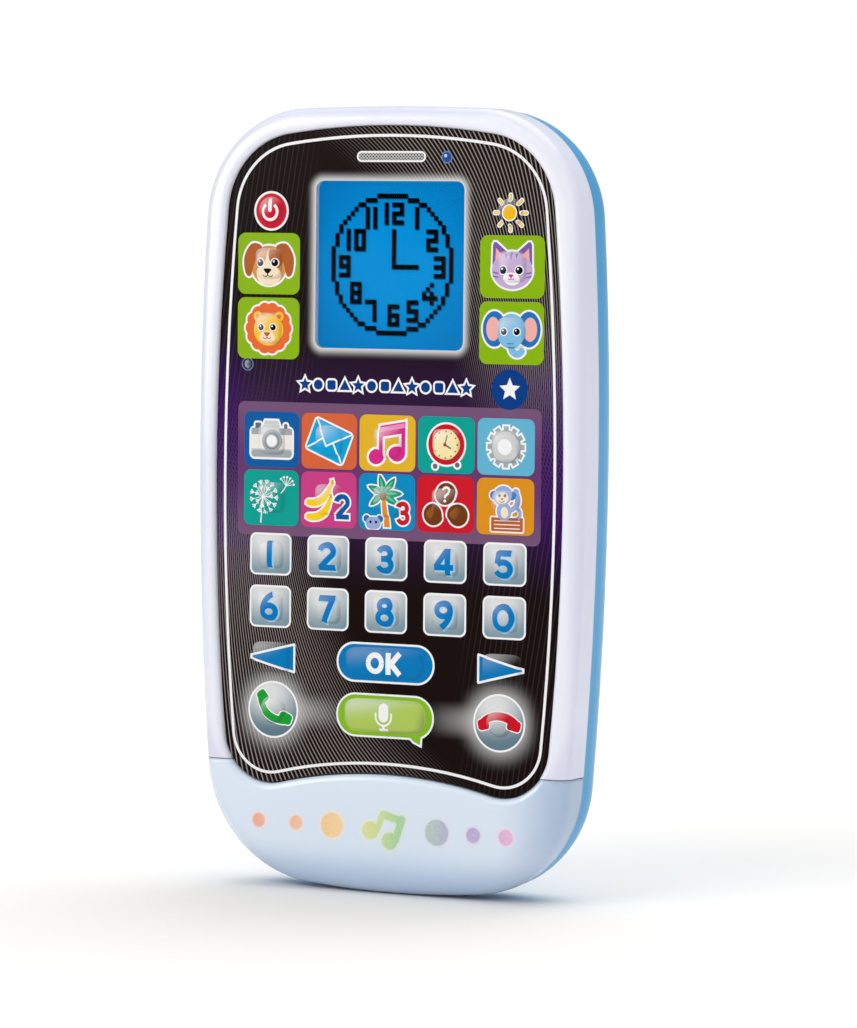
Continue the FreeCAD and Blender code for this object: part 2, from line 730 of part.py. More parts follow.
def make_lights():
    filter_strip = new_body("color_filter")
    slab(filter_strip, "filter", draw_rectangle(0, size("light_row"), 63, 8, 3.95),
         "Sizes.cover_front - 0.7", "Sizes.cover_front - 0.3")
    board = new_body("light_board")
    slab(board, "lamp_board", draw_rectangle(0, size("light_row"), 64, 9, 2),
         LIGHT_BOARD_BACK, LIGHT_BOARD_FRONT)

    def draw_lamps(sketch):
        for x in LAMP_COLUMNS:
            rectangle_at(sketch, x, size("light_row"), 3.0, 3.0, 0.3)
    slab(board, "lamps", draw_lamps, LIGHT_BOARD_FRONT + " - Sizes.weld",
         LIGHT_BOARD_FRONT + " + 1.2")
    return [filter_strip, board]


light_cover = make_light_cover()
light_parts = make_lights()


# ---------------------------------------------------------------- rear case

BAY_FLOOR = "Sizes.seam_level - 0.6"
TAB_COLUMN = 9.0
GRILLE_HOLE = 0.9
GRILLE_PITCH = 3.2


def fuse(label, shapes):
    joined = doc.addObject("Part::MultiFuse", label)
    joined.Shapes = shapes
    return joined


def make_rear_case():
    outer = new_body("rear_outer")
    slab(outer, "rear_block", draw_closed(CASE, size("seam_step")), "Sizes.back_level",
         "Sizes.seam_level")
    round_edges(outer, "back_edge", "back_level", "back_round", lambda middle: True)
    room = new_body("rear_room")
    slab(room, "rear_hollow", draw_closed(CASE, size("seam_step") + size("wall")),
         "Sizes.back_inner", "Sizes.seam_level + Sizes.weld")
    round_edges(room, "rear_hollow_edge", "back_inner", "back_inner_round", lambda middle: True)
    shell = doc.addObject("Part::Cut", "rear_shell")
    shell.Base = outer
    shell.Tool = room

    columns = new_body("rear_columns")
    columns.AllowCompound = True
    slab(columns, "columns", draw_circles(SCREW_PLACES, BOSS_RADIUS), "Sizes.back_level",
         "Sizes.seam_level")
    bosses = doc.addObject("Part::MultiCommon", "rear_bosses")
    bosses.Shapes = [columns, outer]

    inside = new_body("rear_inside")
    inside.AllowCompound = True
    floor = "Sizes.back_inner - Sizes.weld"
    low, high = size("bay_low"), size("bay_high")
    half = size("bay_half_width")
    middle, height = (low + high) / 2, high - low
    slab(inside, "door_frame", draw_rectangle(0, 69, 37, 71, 3), floor, "Sizes.back_inner + 1.6")
    slab(inside, "bay_walls", draw_rectangle(0, middle, 2 * half + 2.4, height + 2.4, 0.8), floor,
         "Sizes.seam_level + 0.4")
    slab(inside, "door_screw_boss", draw_circle(0, size("door_screw_row"), 5.5), floor, "-1.5")
    slab(inside, "speaker_ring", draw_circle(0, size("speaker_row"), 15.2), floor, "-6")
    slab(inside, "lamp_posts", draw_circles([(24.0, size("light_row"))], 2.0), floor,
         LIGHT_BOARD_BACK)

    body = new_body("rear_case")
    body.BaseFeature = fuse("rear_joined", [shell, bosses, inside])
    outside = "Sizes.back_level - Sizes.weld"
    seat = "Sizes.case_screw_seat"
    recess(body, "speaker_room", draw_circle(0, size("speaker_row"), 13.8), "Sizes.back_inner",
           "-5.9")
    recess(body, "screw_holes", draw_circles(SCREW_PLACES, size("case_screw") / 2 + 0.1), seat,
           "Sizes.seam_level + 0.1")
    recess(body, "screw_heads", draw_circles(SCREW_PLACES, size("case_screw_head") / 2 + 0.5),
           outside, seat)
    recess(body, "bay", draw_rectangle(0, middle, 2 * half, height, 0.5), outside, BAY_FLOOR)
    door_middle = (size("door_low") + size("door_high")) / 2
    door_height = size("door_high") - size("door_low")
    gap = size("door_gap")
    recess(body, "door_seat", draw_rectangle(0, door_middle, 2 * (size("door_half_width") + gap),
           door_height + 2 * gap, 3.0), outside, "Sizes.door_level")
    recess(body, "tab_rooms", draw_pair(TAB_COLUMN, 36.75, 6.8, 5.7, 0.3), "Sizes.back_inner",
           "-6.5")
    recess(body, "tab_slots", draw_pair(TAB_COLUMN, 38.05, 6.8, 3.1, 0.3), outside,
           "Sizes.back_inner + Sizes.weld")
    recess(body, "door_screw_socket", draw_circle(0, size("door_screw_row"), 4.3), outside,
           "-6.2")
    recess(body, "door_screw_hole", draw_circle(0, size("door_screw_row"), 1.9), "-6.3", "-1.4")
    recess(body, "speaker_grille", draw_grille, outside, "Sizes.back_inner + Sizes.weld")
    recess(body, "lug_slots", draw_pair(size("cell_column"), high + 0.6, 3.4, 1.6, 0.2), "-0.4",
           "1.7")
    return body


def draw_grille(sketch):
    """Round holes on rings about the speaker's axis."""
    circle_at(sketch, 0, size("speaker_row"), GRILLE_HOLE)
    for ring in (1, 2, 3):
        for step in range(6 * ring):
            angle = math.radians(60 * step / ring)
            circle_at(sketch, ring * GRILLE_PITCH * math.cos(angle),
                      size("speaker_row") + ring * GRILLE_PITCH * math.sin(angle), GRILLE_HOLE)


rear_case = make_rear_case()


# ---------------------------------------------------------------- battery cover

DOOR_SCREW_SEAT = "-8.7"


def make_battery_cover():
    body = new_body("battery_cover")
    low, high = size("door_low"), size("door_high")
    slab(body, "door", draw_rectangle(0, (low + high) / 2, 2 * size("door_half_width"), high - low,
         2.8), "Sizes.back_level", "Sizes.door_level")
    slab(body, "necks", draw_pair(TAB_COLUMN, low + 0.85, 5.6, 1.3, 0.2),
         "Sizes.door_level - Sizes.weld", "-8.8")
    slab(body, "tabs", draw_pair(TAB_COLUMN, low - 0.7, 5.6, 3.2, 0.2), "-8.9", "-7.9")
    slab(body, "post", draw_circle(0, size("door_screw_row"), 3.6),
         "Sizes.door_level - Sizes.weld", "-6.4")
    recess(body, "head_room", draw_circle(0, size("door_screw_row"), 2.9),
           "Sizes.back_level - Sizes.weld", DOOR_SCREW_SEAT)
    recess(body, "shank_hole", draw_circle(0, size("door_screw_row"), 1.6),
           DOOR_SCREW_SEAT + " - Sizes.weld", "-6.3")
    return body


def make_battery_cover_screw():
    body = new_body("battery_cover_screw")
    row = size("door_screw_row")
    slab(body, "head", draw_circle(0, row, 2.6), DOOR_SCREW_SEAT + " - 1.7", DOOR_SCREW_SEAT)
    slab(body, "shank", draw_circle(0, row, 1.4), DOOR_SCREW_SEAT + " - Sizes.weld", "-3")
    for name, width, height in (("slot_across", 3.4, 0.7), ("slot_upright", 0.7, 3.4)):
        recess(body, name, draw_rectangle(0, row, width, height, 0.1),
               DOOR_SCREW_SEAT + " - 1.8", DOOR_SCREW_SEAT + " - 0.8")
    return body


battery_cover = make_battery_cover()
battery_cover_screw = make_battery_cover_screw()


# ---------------------------------------------------------------- screws

def make_screws(label, places, head, head_height, shank, seat, tip):
    """A group of screws at the places and their mirror images, heads to the back."""
    body = new_body(label)
    body.AllowCompound = True
    slab(body, label + "_heads", draw_circles(places, head), f"{seat} - {head_height}", seat)
    slab(body, label + "_shanks", draw_circles(places, shank), f"{seat} - Sizes.weld", tip)
    return body


case_screws = make_screws("case_screws", SCREW_PLACES, size("case_screw_head") / 2, 2.0,
                          size("case_screw") / 2, "Sizes.case_screw_seat", "6.5")
board_screws = make_screws("board_screws", BOARD_SCREW_PLACES, 1.9, 1.0, BOARD_SCREW,
                           "Sizes.board_back", "6.5")


# ---------------------------------------------------------------- speaker

def make_speaker():
    speaker = new_body("speaker")
    row = size("speaker_row")
    slab(speaker, "basket", draw_circle(0, row, size("speaker_radius")), "-8.7", "-6.6")
    slab(speaker, "magnet", draw_circle(0, row, 9.0), "-6.6 - Sizes.weld", "-3.6")
    gasket = new_body("speaker_gasket")
    slab(gasket, "foam", draw_circle(0, row, 13.4), "Sizes.back_inner", "-8.7")
    recess(gasket, "foam_hole", draw_circle(0, row, 10.6), "Sizes.back_inner", "-8.7")
    return [speaker, gasket]


speaker_parts = make_speaker()


# ---------------------------------------------------------------- cells and contacts

COIL_LENGTH = 3.5
LUG_LENGTH = 3.4


def cylinder(label, radius, height, x, y, z):
    item = doc.addObject("Part::Cylinder", label)
    item.Radius = radius
    item.Height = height
    item.Placement = Placement(Vector(x, y, z), Rotation())
    return item


def box(label, low, high):
    item = doc.addObject("Part::Box", label)
    item.Length, item.Width, item.Height = [b - a for a, b in zip(low, high)]
    item.Placement = Placement(Vector(*low), Rotation())
    return item


def make_cell(label, x, body_low, button_low):
    depth = -size("cell_level")
    case = cylinder(label + "_case", 1, 1, x, depth, body_low)
    case.setExpression("Radius", "Sizes.cell_diameter / 2")
    case.setExpression("Height", "Sizes.cell_length - 1")
    return fuse(label, [case, cylinder(label + "_button", 1.9, 1.1, x, depth, button_low)])


def make_coil(label, x, z, toward):
    """Sleeve of the outer shape of the conical contact spring, wide end at z on the cell axis."""
    cone = doc.addObject("Part::Cone", label + "_cone")
    cone.Radius1, cone.Radius2, cone.Height = 3.5, 2.9, COIL_LENGTH
    bore = doc.addObject("Part::Cylinder", label + "_bore")
    bore.Radius, bore.Height = 2.2, COIL_LENGTH
    sleeve = doc.addObject("Part::Cut", label)
    sleeve.Base, sleeve.Tool = cone, bore
    turn = Rotation(Vector(1, 0, 0), 0 if toward > 0 else 180)
    sleeve.Placement = Placement(Vector(x, -size("cell_level"), z), turn)
    return sleeve


def make_contacts():
    column, low, high = size("cell_column"), size("bay_low"), size("bay_high")
    depth = -size("cell_level")
    plate = 0.4
    front, back = -1.4, 8.2
    bridge = fuse("bridge_contact", [
        box("bridge_plate", (-10.6, front, low), (10.6, back, low + plate)),
        make_coil("bridge_coil", -column, low + plate - 0.1, 1),
        cylinder("bridge_dimple", 1.6, 1.1, column, depth, low + plate - 0.05)])
    positive = fuse("positive_contact", [
        box("positive_plate", (-10.6, front, high - plate), (-1.2, back, high)),
        cylinder("positive_dimple", 1.6, 1.1, -column, depth, high - plate - 1.05),
        box("positive_lug", (-column - 1.3, front, high - plate), (-column + 1.3, front + 0.4,
            high + LUG_LENGTH))])
    negative = fuse("negative_contact", [
        box("negative_plate", (1.2, front, high - plate), (10.6, back, high)),
        make_coil("negative_coil", column, high - plate + 0.1, -1),
        box("negative_lug", (column - 1.3, front, high - plate), (column + 1.3, front + 0.4,
            high + LUG_LENGTH))])
    return [bridge, positive, negative]


low_cell = size("bay_low") + 1.5
cells = doc.addObject("Part::Compound", "battery_cells")
cells.Links = [
    make_cell("cell_left", -size("cell_column"), low_cell + 2.7,
              low_cell + size("cell_length") + 1.6),
    make_cell("cell_right", size("cell_column"), low_cell + 1, low_cell),
]
contacts = make_contacts()


# ---------------------------------------------------------------- wires

# routes of the right-hand wire of each pair: (x, y, z)
WIRE_ROUTES = {
    "speaker_wires": [(3.0, 6.0, 113.2), (3.2, 4.2, 110.9), (3.5, 1.4, 108.3), (3.1, -1.2, 106.1),
                      (2.6, -2.7, 103.9)],
    "battery_wires": [(5.85, -1.9, 94.7), (6.2, -1.1, 96.6), (7.2, -1.2, 98.7), (8.2, -2.7, 100.4)],
    "light_wires": [(4.0, -2.9, 16.4), (4.4, -1.4, 19.2), (5.2, 0.3, 23.0), (5.4, 0.2, 27.2),
                    (5.0, -1.0, 31.0), (4.6, -2.7, 34.0)],
}


def rounded_route(points):
    """Straight runs joined by tangent arcs as large as the runs allow."""
    edges, start = [], points[0]
    for before, corner, after in zip(points, points[1:], points[2:]):
        incoming, outgoing = corner - before, after - corner
        reach = 0.45 * min(incoming.Length, outgoing.Length)
        incoming.normalize()
        outgoing.normalize()
        half_turn = incoming.getAngle(outgoing) / 2
        bisector = outgoing - incoming
        bisector.normalize()
        first, last = corner - incoming * reach, corner + outgoing * reach
        rise = reach * (1 / math.sin(half_turn) - 1 / math.tan(half_turn))
        edges.append(Part.LineSegment(start, first).toShape())
        edges.append(Part.Arc(first, corner + bisector * rise, last).toShape())
        start = last
    edges.append(Part.LineSegment(start, points[-1]).toShape())
    return Part.Wire(edges)


def make_wires(label, route):
    pair = doc.addObject("Part::Feature", label)
    pipes = []
    for side in (1, -1):
        path = rounded_route([Vector(side * x, y, z) for x, y, z in route])
        first = path.Edges[0]
        start = first.FirstParameter
        ring = Part.Circle(first.Curve.value(start), first.tangentAt(start),
                           size("wire_radius")).toShape()
        pipes.append(path.makePipeShell([Part.Wire([ring])], True, False))
    pair.Shape = Part.makeCompound(pipes)
    return pair


wires = [make_wires(label, route) for label, route in WIRE_ROUTES.items()]


# ---------------------------------------------------------------- write the pieces

pieces = keys + [front_case, face_label] + screen_stack + [main_board, key_mat] + microphone_parts
pieces += [light_cover] + light_parts + [rear_case, battery_cover, battery_cover_screw]
pieces += [case_screws, board_screws] + speaker_parts + [cells] + contacts + wires
doc.recompute()

for item in doc.Objects:
    if any(word in item.State for word in ("Invalid", "Error")):
        raise RuntimeError(f"{item.Label} did not build")
os.makedirs("parts", exist_ok=True)
for item in pieces:
    if item.Shape.isNull() or not item.Shape.isValid():
        raise RuntimeError(f"{item.Label} has no valid shape")
    item.Shape.exportStep(f"parts/{item.Label}.step")
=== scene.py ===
import math

import bpy
from mathutils import Matrix, Vector
from mathutils.geometry import delaunay_2d_cdt


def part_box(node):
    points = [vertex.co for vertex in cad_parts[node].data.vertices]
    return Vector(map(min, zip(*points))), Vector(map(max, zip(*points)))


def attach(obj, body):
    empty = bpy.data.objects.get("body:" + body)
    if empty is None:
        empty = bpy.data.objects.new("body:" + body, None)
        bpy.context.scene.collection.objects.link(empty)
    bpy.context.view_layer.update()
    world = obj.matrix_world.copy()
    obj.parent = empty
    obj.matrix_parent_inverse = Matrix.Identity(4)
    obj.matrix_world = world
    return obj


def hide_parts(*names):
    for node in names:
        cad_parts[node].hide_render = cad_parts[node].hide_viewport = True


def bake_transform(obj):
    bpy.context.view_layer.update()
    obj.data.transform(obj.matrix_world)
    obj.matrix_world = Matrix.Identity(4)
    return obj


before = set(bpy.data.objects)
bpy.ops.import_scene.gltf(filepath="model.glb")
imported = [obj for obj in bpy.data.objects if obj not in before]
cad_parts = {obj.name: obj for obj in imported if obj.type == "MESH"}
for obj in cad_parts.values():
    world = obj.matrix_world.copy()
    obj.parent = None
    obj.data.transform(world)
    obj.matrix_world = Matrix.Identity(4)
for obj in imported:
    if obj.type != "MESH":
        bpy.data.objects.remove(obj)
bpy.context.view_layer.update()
MM = 0.001
scene = bpy.context.scene


def middle(node):
    """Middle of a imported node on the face, in millimetres across and up."""
    low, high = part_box(node)
    return (low.x + high.x) / 2 / MM, (low.z + high.z) / 2 / MM


def add_object(name, data):
    obj = bpy.data.objects.new(name, data)
    scene.collection.objects.link(obj)
    return obj


def add_mesh(name, corners, faces, *materials):
    mesh = bpy.data.meshes.new(name)
    mesh.from_pydata(corners, [], faces)
    for material in materials:
        mesh.materials.append(material)
    return add_object(name, mesh)


# ---- colours and materials

def rgb(red, green, blue):
    """Linear colour from the usual 0 to 255 values."""
    def linear(value):
        value /= 255
        return value / 12.92 if value <= 0.04045 else ((value + 0.055) / 1.055) ** 2.4
    return (linear(red), linear(green), linear(blue), 1.0)


def worked(operation, swapped=False):
    def method(self, other=0.0):
        return self.paint.math(operation, *((other, self) if swapped else (self, other)))
    return method


class Value:
    """A number that a material's nodes work out. It takes part in plain arithmetic."""

    def __init__(self, paint, socket):
        self.paint, self.socket = paint, socket

    __add__, __radd__ = worked("ADD"), worked("ADD", True)
    __sub__, __rsub__ = worked("SUBTRACT"), worked("SUBTRACT", True)
    __mul__, __rmul__ = worked("MULTIPLY"), worked("MULTIPLY", True)
    __truediv__, __rtruediv__ = worked("DIVIDE"), worked("DIVIDE", True)
    __gt__, __lt__ = worked("GREATER_THAN"), worked("LESS_THAN")
    __pow__, __abs__ = worked("POWER"), worked("ABSOLUTE")


class Paint:
    """A Principled material with short calls for its nodes. Places are in millimetres, and a
    colour is three numbers from 0 to 255."""

    def __init__(self, name, colour, roughness=0.35, grain=0.02, grain_size=0.25, soft=0.0,
                 **sockets):
        self.material = bpy.data.materials.new(name)
        self.material.use_nodes = True
        self.nodes = self.material.node_tree.nodes
        self.links = self.material.node_tree.links
        self.bsdf = self.nodes["Principled BSDF"]
        sockets.update(Base_Color=colour, Roughness=roughness)
        for socket, value in sockets.items():
            self.put(self.bsdf.inputs[socket.replace("_", " ")], value)
        self.place = None
        if grain:
            self.add_grain(grain, grain_size, soft)

    def put(self, socket, value):
        if isinstance(value, Value):
            value = value.socket
        if isinstance(value, bpy.types.NodeSocket):
            self.links.new(value, socket)
        else:
            socket.default_value = rgb(*value) if isinstance(value, tuple) else value

    def node(self, kind, inputs=(), **settings):
        """A new node with some inputs, as pairs of socket and value, and settings."""
        node = self.nodes.new(kind)
        for name, value in settings.items():
            setattr(node, name, value)
        for name, value in inputs:
            self.put(node.inputs[name], value)
        return node

    def split(self, vector):
        node = self.node("ShaderNodeSeparateXYZ", [(0, vector)])
        return [Value(self, socket) for socket in node.outputs]

    def where(self):
        """The place on the surface: its socket, and its three parts."""
        if not self.place:
            source = self.node("ShaderNodeTexCoord").outputs["Object"]
            place = self.node("ShaderNodeVectorMath", [(0, source), ("Scale", 1 / MM)],
                              operation="SCALE").outputs[0]
            self.place = place, *self.split(place)
        return self.place

    def xz(self):
        return self.where()[1], self.where()[3]

    def math(self, operation, *values):
        node = self.node("ShaderNodeMath", enumerate(values), operation=operation)
        return Value(self, node.outputs[0])

    def smooth(self, value, low, high, start=0.0, end=1.0):
        """From start at low to end at high, with smooth ends."""
        inputs = enumerate((value, low, high, start, end))
        node = self.node("ShaderNodeMapRange", inputs, interpolation_type="SMOOTHSTEP")
        return Value(self, node.outputs[0])

    def mix(self, share, first, second):
        inputs = (("Factor", share), (6, first), (7, second))
        return self.node("ShaderNodeMix", inputs, data_type="RGBA").outputs[2]

    def over(self, base, *layers):
        """The base with more colours over it, each by its own share."""
        for share, colour in layers:
            base = self.mix(share, base, colour)
        return base

    def noise(self, size, detail=2.0):
        inputs = (("Vector", self.where()[0]), ("Scale", 1 / size), ("Detail", detail))
        return Value(self, self.node("ShaderNodeTexNoise", inputs).outputs["Fac"])

    def add_grain(self, strength, size, soft):
        """Fine surface grain, over edges that look rounded by soft millimetres."""
        bump = self.node("ShaderNodeBump", (("Strength", strength), ("Distance", 0.1 * MM),
                                            ("Height", self.noise(size))))
        if soft:
            bevel = self.node("ShaderNodeBevel", [("Radius", soft * MM)], samples=6)
            self.put(bump.inputs["Normal"], bevel.outputs[0])
        self.put(self.bsdf.inputs["Normal"], bump.outputs["Normal"])

    def colour(self, socket):
        self.put(self.bsdf.inputs["Base Color"], socket)
        return self.material

    def length(self, a, b):
        return self.math("SQRT", a * a + b * b)

    def distance(self, x, z):
        """Distance from a point of the face."""
        here_x, here_z = self.xz()
        return self.length(here_x - x, here_z - z)

    def stroke(self, first, second, origin):
        """Distance from a straight line between two points of the face, given from an origin."""
        x, z = self.xz()
        along_x, along_z = second[0] - first[0], second[1] - first[1]
        across, rise = x - (origin[0] + first[0]), z - (origin[1] + first[1])
        span = along_x ** 2 + along_z ** 2
        share = across * (along_x / span) + rise * (along_z / span)
        share = self.math("MINIMUM", self.math("MAXIMUM", share, 0.0), 1.0)
        return self.length(across - share * along_x, rise - share * along_z)

    def outside(self, x, z, width, height, corner):
        """Distance outside a rounded rectangle of the face, under zero inside it."""
        here_x, here_z = self.xz()
        over = [self.math("MAXIMUM", abs(here - centre) - (half - corner), 0.0)
                for here, centre, half in ((here_x, x, width / 2), (here_z, z, height / 2))]
        return self.length(*over) - corner

    def painted_dome_light(self, colour, strength=1.0):
        """The colour with painted light on a dome: a painted highlight at its upper left, and
        painted shade along its lower right rim. The sheet's dome attribute holds the place on the
        dome, from -1 to 1 each way, and how square its outline is."""
        place = self.node("ShaderNodeAttribute", attribute_name="dome")
        across, up, square = self.split(place.outputs["Vector"])
        reach = (abs(across) ** square + abs(up) ** square) ** (
            1.0 / self.math("MAXIMUM", square, 0.5))
        within = self.math("MINIMUM", square, 1.0) * self.smooth(reach, 1.02, 0.95)
        slant = (across - up) * 0.5
        # painted highlight, strongest at the dome's upper left
        shine = (within * self.smooth(slant, -0.8, 0.25, 0.4 * strength, 0.0)
                 * self.smooth(up, -0.6, 0.7))
        # painted shade along the dome's lower right rim
        shade = (within * self.smooth(reach, 0.72, 1.0) * self.smooth(slant, 0.0, 0.6)
                 * (0.34 * strength))
        return self.over(colour, (shine, (240, 240, 242)), (shade, (60, 66, 74)))


def two_tone(name, first, second, share, *finish, **sockets):
    """A material of two colours; share works out the second one's part from the paint."""
    paint = Paint(name, first, *finish, **sockets)
    return paint.colour(paint.mix(share(paint), first, second))


def stripes(paint, coordinate, pitch, share):
    """1 on thin lines across the coordinate, 0 between them."""
    half = pitch / 2
    wave = paint.math("PINGPONG", coordinate, half)
    return paint.smooth(wave, half * share * 0.6, half * share * 1.4, 1.0, 0.0)


# ---- inks of the printed film

INKS = {
    "white": (243, 243, 244), "black": (14, 12, 13), "green_tile": (136, 180, 10),
    "blue_tile": (0, 90, 162), "orange_tile": (214, 98, 56), "yellow_tile": (226, 178, 38),
    "teal_tile": (4, 158, 146), "sky_tile": (98, 178, 210), "magenta_tile": (200, 62, 132),
    "cyan_tile": (0, 138, 192), "red_tile": (204, 22, 40), "amber_tile": (220, 144, 26),
    "digit_blue": (0, 118, 188), "digit_glow": (160, 208, 234), "ok_blue": (0, 120, 184),
    "talk_green": (132, 184, 40), "talk_cap": (174, 200, 92), "power_red": (204, 22, 46),
    "call_green": (22, 160, 52), "sun": (242, 184, 8), "sun_pale": (250, 226, 150),
    "grey_light": (205, 206, 206), "grey": (160, 168, 172), "grey_dark": (96, 104, 114),
    "paper": (238, 234, 226), "sky": (66, 174, 224), "sky_deep": (0, 160, 216),
    "magenta": (216, 40, 138), "pink": (236, 140, 190), "cream": (246, 230, 172),
    "red": (206, 14, 34), "leaf": (22, 150, 110), "leaf_pale": (90, 196, 160),
    "banana": (246, 206, 30), "banana_shade": (222, 168, 20), "bark": (226, 140, 40),
    "husk": (112, 56, 14), "husk_pale": (146, 84, 30), "plank": (190, 96, 40),
    "fur_brown": (176, 92, 36), "fur_tan": (214, 146, 74), "fur_cream": (246, 226, 196),
    "fur_gold": (248, 196, 60), "mane": (230, 106, 44), "fur_lilac": (196, 170, 212),
    "fur_violet": (122, 88, 168), "fur_sky": (126, 188, 226), "fur_blue": (34, 112, 186),
    "fur_steel": (150, 170, 216), "blush": (240, 176, 168), "lens_blue": (30, 74, 150),
    "lens_light": (190, 214, 240), "lens_rim": (96, 128, 172), "sign_blue": (0, 58, 132),
}
VIVID = ("digit_blue", "ok_blue", "sun")  # inks that the painted highlight on a dome hardly pales
KEY_GLOSS = dict(roughness=0.18, Specular_IOR_Level=0.05)
FILM_GLOSS = dict(roughness=0.2, Specular_IOR_Level=0.02)
_inks = {}


def ink(name):
    """The material of an ink, with the dome's painted highlight and shade over it; each is
    made once.
    """
    if name not in _inks:
        paint = Paint("ink_" + name, INKS[name], **KEY_GLOSS)
        strength = 0.35 if name in VIVID else 1.0
        _inks[name] = paint.colour(paint.painted_dome_light(INKS[name], strength))
    return _inks[name]


# ---- drawing shapes

def polar(x, z, reach, degrees):
    angle = math.radians(degrees)
    return x + reach * math.cos(angle), z + reach * math.sin(angle)


def shift(points, x=0.0, z=0.0, turn=0.0, size=1.0):
    across, up = polar(0, 0, size, turn)
    return [(x + u * across - v * up, z + u * up + v * across) for u, v in points]


def oval(x, z, rx, rz, start, end, steps):
    """Points along part of an oval, between two angles in degrees."""
    angles = [math.radians(start + (end - start) * step / steps) for step in range(steps + 1)]
    return [(x + rx * math.cos(a), z + rz * math.sin(a)) for a in angles]


def disc(x, z, rx, rz=None, turn=0.0, steps=40):
    return shift(oval(0, 0, rx, rz or rx, 0, 360, steps)[:-1], x, z, turn)


def arc(x, z, radius, start, end, steps=16):
    return oval(x, z, radius, radius, start, end, steps)


def ring(x, z, rx, rz, steps, start=0.0, sweep=180.0):
    """An oval as two strokes that meet."""
    return [oval(x, z, rx, rz, first, first + sweep, steps) for first in (start, start + 180)]


def tile(x, z, width, height, corner, steps=7):
    """Rounded rectangle about a point."""
    corner = max(min(corner, width / 2 - 1e-3, height / 2 - 1e-3), 0.02)
    points = []
    for quarter, (sx, sz) in enumerate([(1, 1), (-1, 1), (-1, -1), (1, -1)]):
        points += arc(x + sx * (width / 2 - corner), z + sz * (height / 2 - corner), corner,
                      90 * quarter, 90 * quarter + 90, steps)
    return points


def unit(x, z):
    length = math.hypot(x, z)
    return (x / length, z / length) if length > 1e-9 else None


def ribbon(points, width):
    """Band of a width along a line, with square ends."""
    left, right = [], []
    for index, (x, z) in enumerate(points):
        before = points[max(index - 1, 0)]
        after = points[min(index + 1, len(points) - 1)]
        first = unit(x - before[0], z - before[1]) or unit(after[0] - x, after[1] - z)
        second = unit(after[0] - x, after[1] - z) or first
        across = unit(-first[1] - second[1], first[0] + second[0])
        reach = width / 2 / max(0.35, across[0] * -first[1] + across[1] * first[0])
        left.append((x + across[0] * reach, z + across[1] * reach))
        right.append((x - across[0] * reach, z - across[1] * reach))
    return left + right[::-1]


def ribbons(width, *lines):
    return [ribbon(line, width) for line in lines]


def rounded(points):
    """Smooth closed curve through the points."""
    result = []
    for index in range(len(points)):
        around = [points[(index + k) % len(points)] for k in (-1, 0, 1, 2)]
        for t in (0.0, 0.2, 0.4, 0.6, 0.8):
            result.append(tuple(0.5 * (2 * b + (c - a) * t + (2 * a - 5 * b + 4 * c - d) * t * t
                                       + (3 * b - a - 3 * c + d) * t ** 3)
                                for a, b, c, d in zip(*around)))
    return result


def turns_left(points):
    return sum(a[0] * b[1] - b[0] * a[1] for a, b in zip(points, points[1:] + points[:1])) > 0


def grown(points, by):
    """The closed shape, larger by a margin all round."""
    side = 1 if turns_left(points) else -1
    result = []
    for before, here, after in zip(points[-1:] + points, points, points[1:] + points[:1]):
        first = unit(here[0] - before[0], here[1] - before[1])
        second = unit(after[0] - here[0], after[1] - here[1])
        outward = first and second and unit(side * (first[1] + second[1]),
                                            side * (-first[0] - second[0]))
        if outward:
            reach = by / max(0.5, side * (outward[0] * first[1] - outward[1] * first[0]))
            result.append((here[0] + outward[0] * reach, here[1] + outward[1] * reach))
    return result


def both(points):
    """A shape and its mirror image across the middle line."""
    return points, [(-x, z) for x, z in points]


def star(x, z, radius):
    """Star with one of its five points up."""
    return [polar(x, z, radius * (1, 0.46)[step % 2], 90 + 36 * step) for step in range(10)]


# ---- pictures
# A picture is a list of layers, the lowest first. A layer is the name of its ink or its
# material, and then closed shapes in millimetres.

def sticker(margin, *layers):
    """The layers on a white border."""
    return [("white", *(grown(shape, margin) for _, *shapes in layers for shape in shapes)),
            *layers]


def moved(picture, x=0.0, z=0.0, turn=0.0):
    return [(name, *(shift(shape, x, z, turn) for shape in shapes)) for name, *shapes in picture]


def digit(text, size, width, wide=1.0, x=0.0, z=0.0):
    """The strokes of a digit about 6 mm tall at size 1, stretched sideways by wide."""
    bowl = ring(0, -1.15, 1.4, 1.4, 16, -8, 196) + [arc(2.9, -0.9, 4.32, 181, 122)]
    lines = {
        "0": ring(0, 0, 1.75, 2.46, 18, -5, 190.8),
        "1": [[(0, -3.0), (0, 3.0)]],
        "2": [arc(-0.05, 1.15, 1.42, 172, -28) + [(-1.15, -2.1), (-1.45, -2.45)],
              [(-1.85, -2.45), (1.75, -2.45)]],
        "3": [arc(-0.1, 1.25, 1.22, 165, -90), arc(-0.1, -1.2, 1.38, 90, -165),
              [(-0.8, 0.08), (0.1, 0.08)]],
        "4": [[(0.75, -3.0), (0.75, 2.9)], [(0.55, 2.5), (-1.75, -1.2)],
              [(-2.1, -1.25), (1.95, -1.25)]],
        "5": [[(1.5, 2.44), (-1.25, 2.44)], [(-1.0, 2.8), (-1.3, 0.1)],
              arc(-0.1, -1.0, 1.5, 140, -160)],
        "6": bowl,
        "7": [[(-1.75, 2.42), (1.75, 2.42)], [(1.4, 2.6), (-0.65, -3.0)]],
        "8": ring(0, 1.4, 1.12, 1.12, 16, -8, 196) + ring(0, -1.25, 1.42, 1.42, 16, -8, 196),
        "9": [shift(line, turn=180) for line in bowl],
    }[text]
    return [ribbon(shift([(u * wide, v) for u, v in line], x, z, 0, size), width * size)
            for line in lines]


def picture_digit(text):
    glow = [grown(shape, 0.12) for shape in digit(text, 0.95, 1.34, 1.18, 0.22, -0.2)]
    return [("digit_glow", *glow), ("digit_blue", *digit(text, 0.95, 1.34, 1.18))]


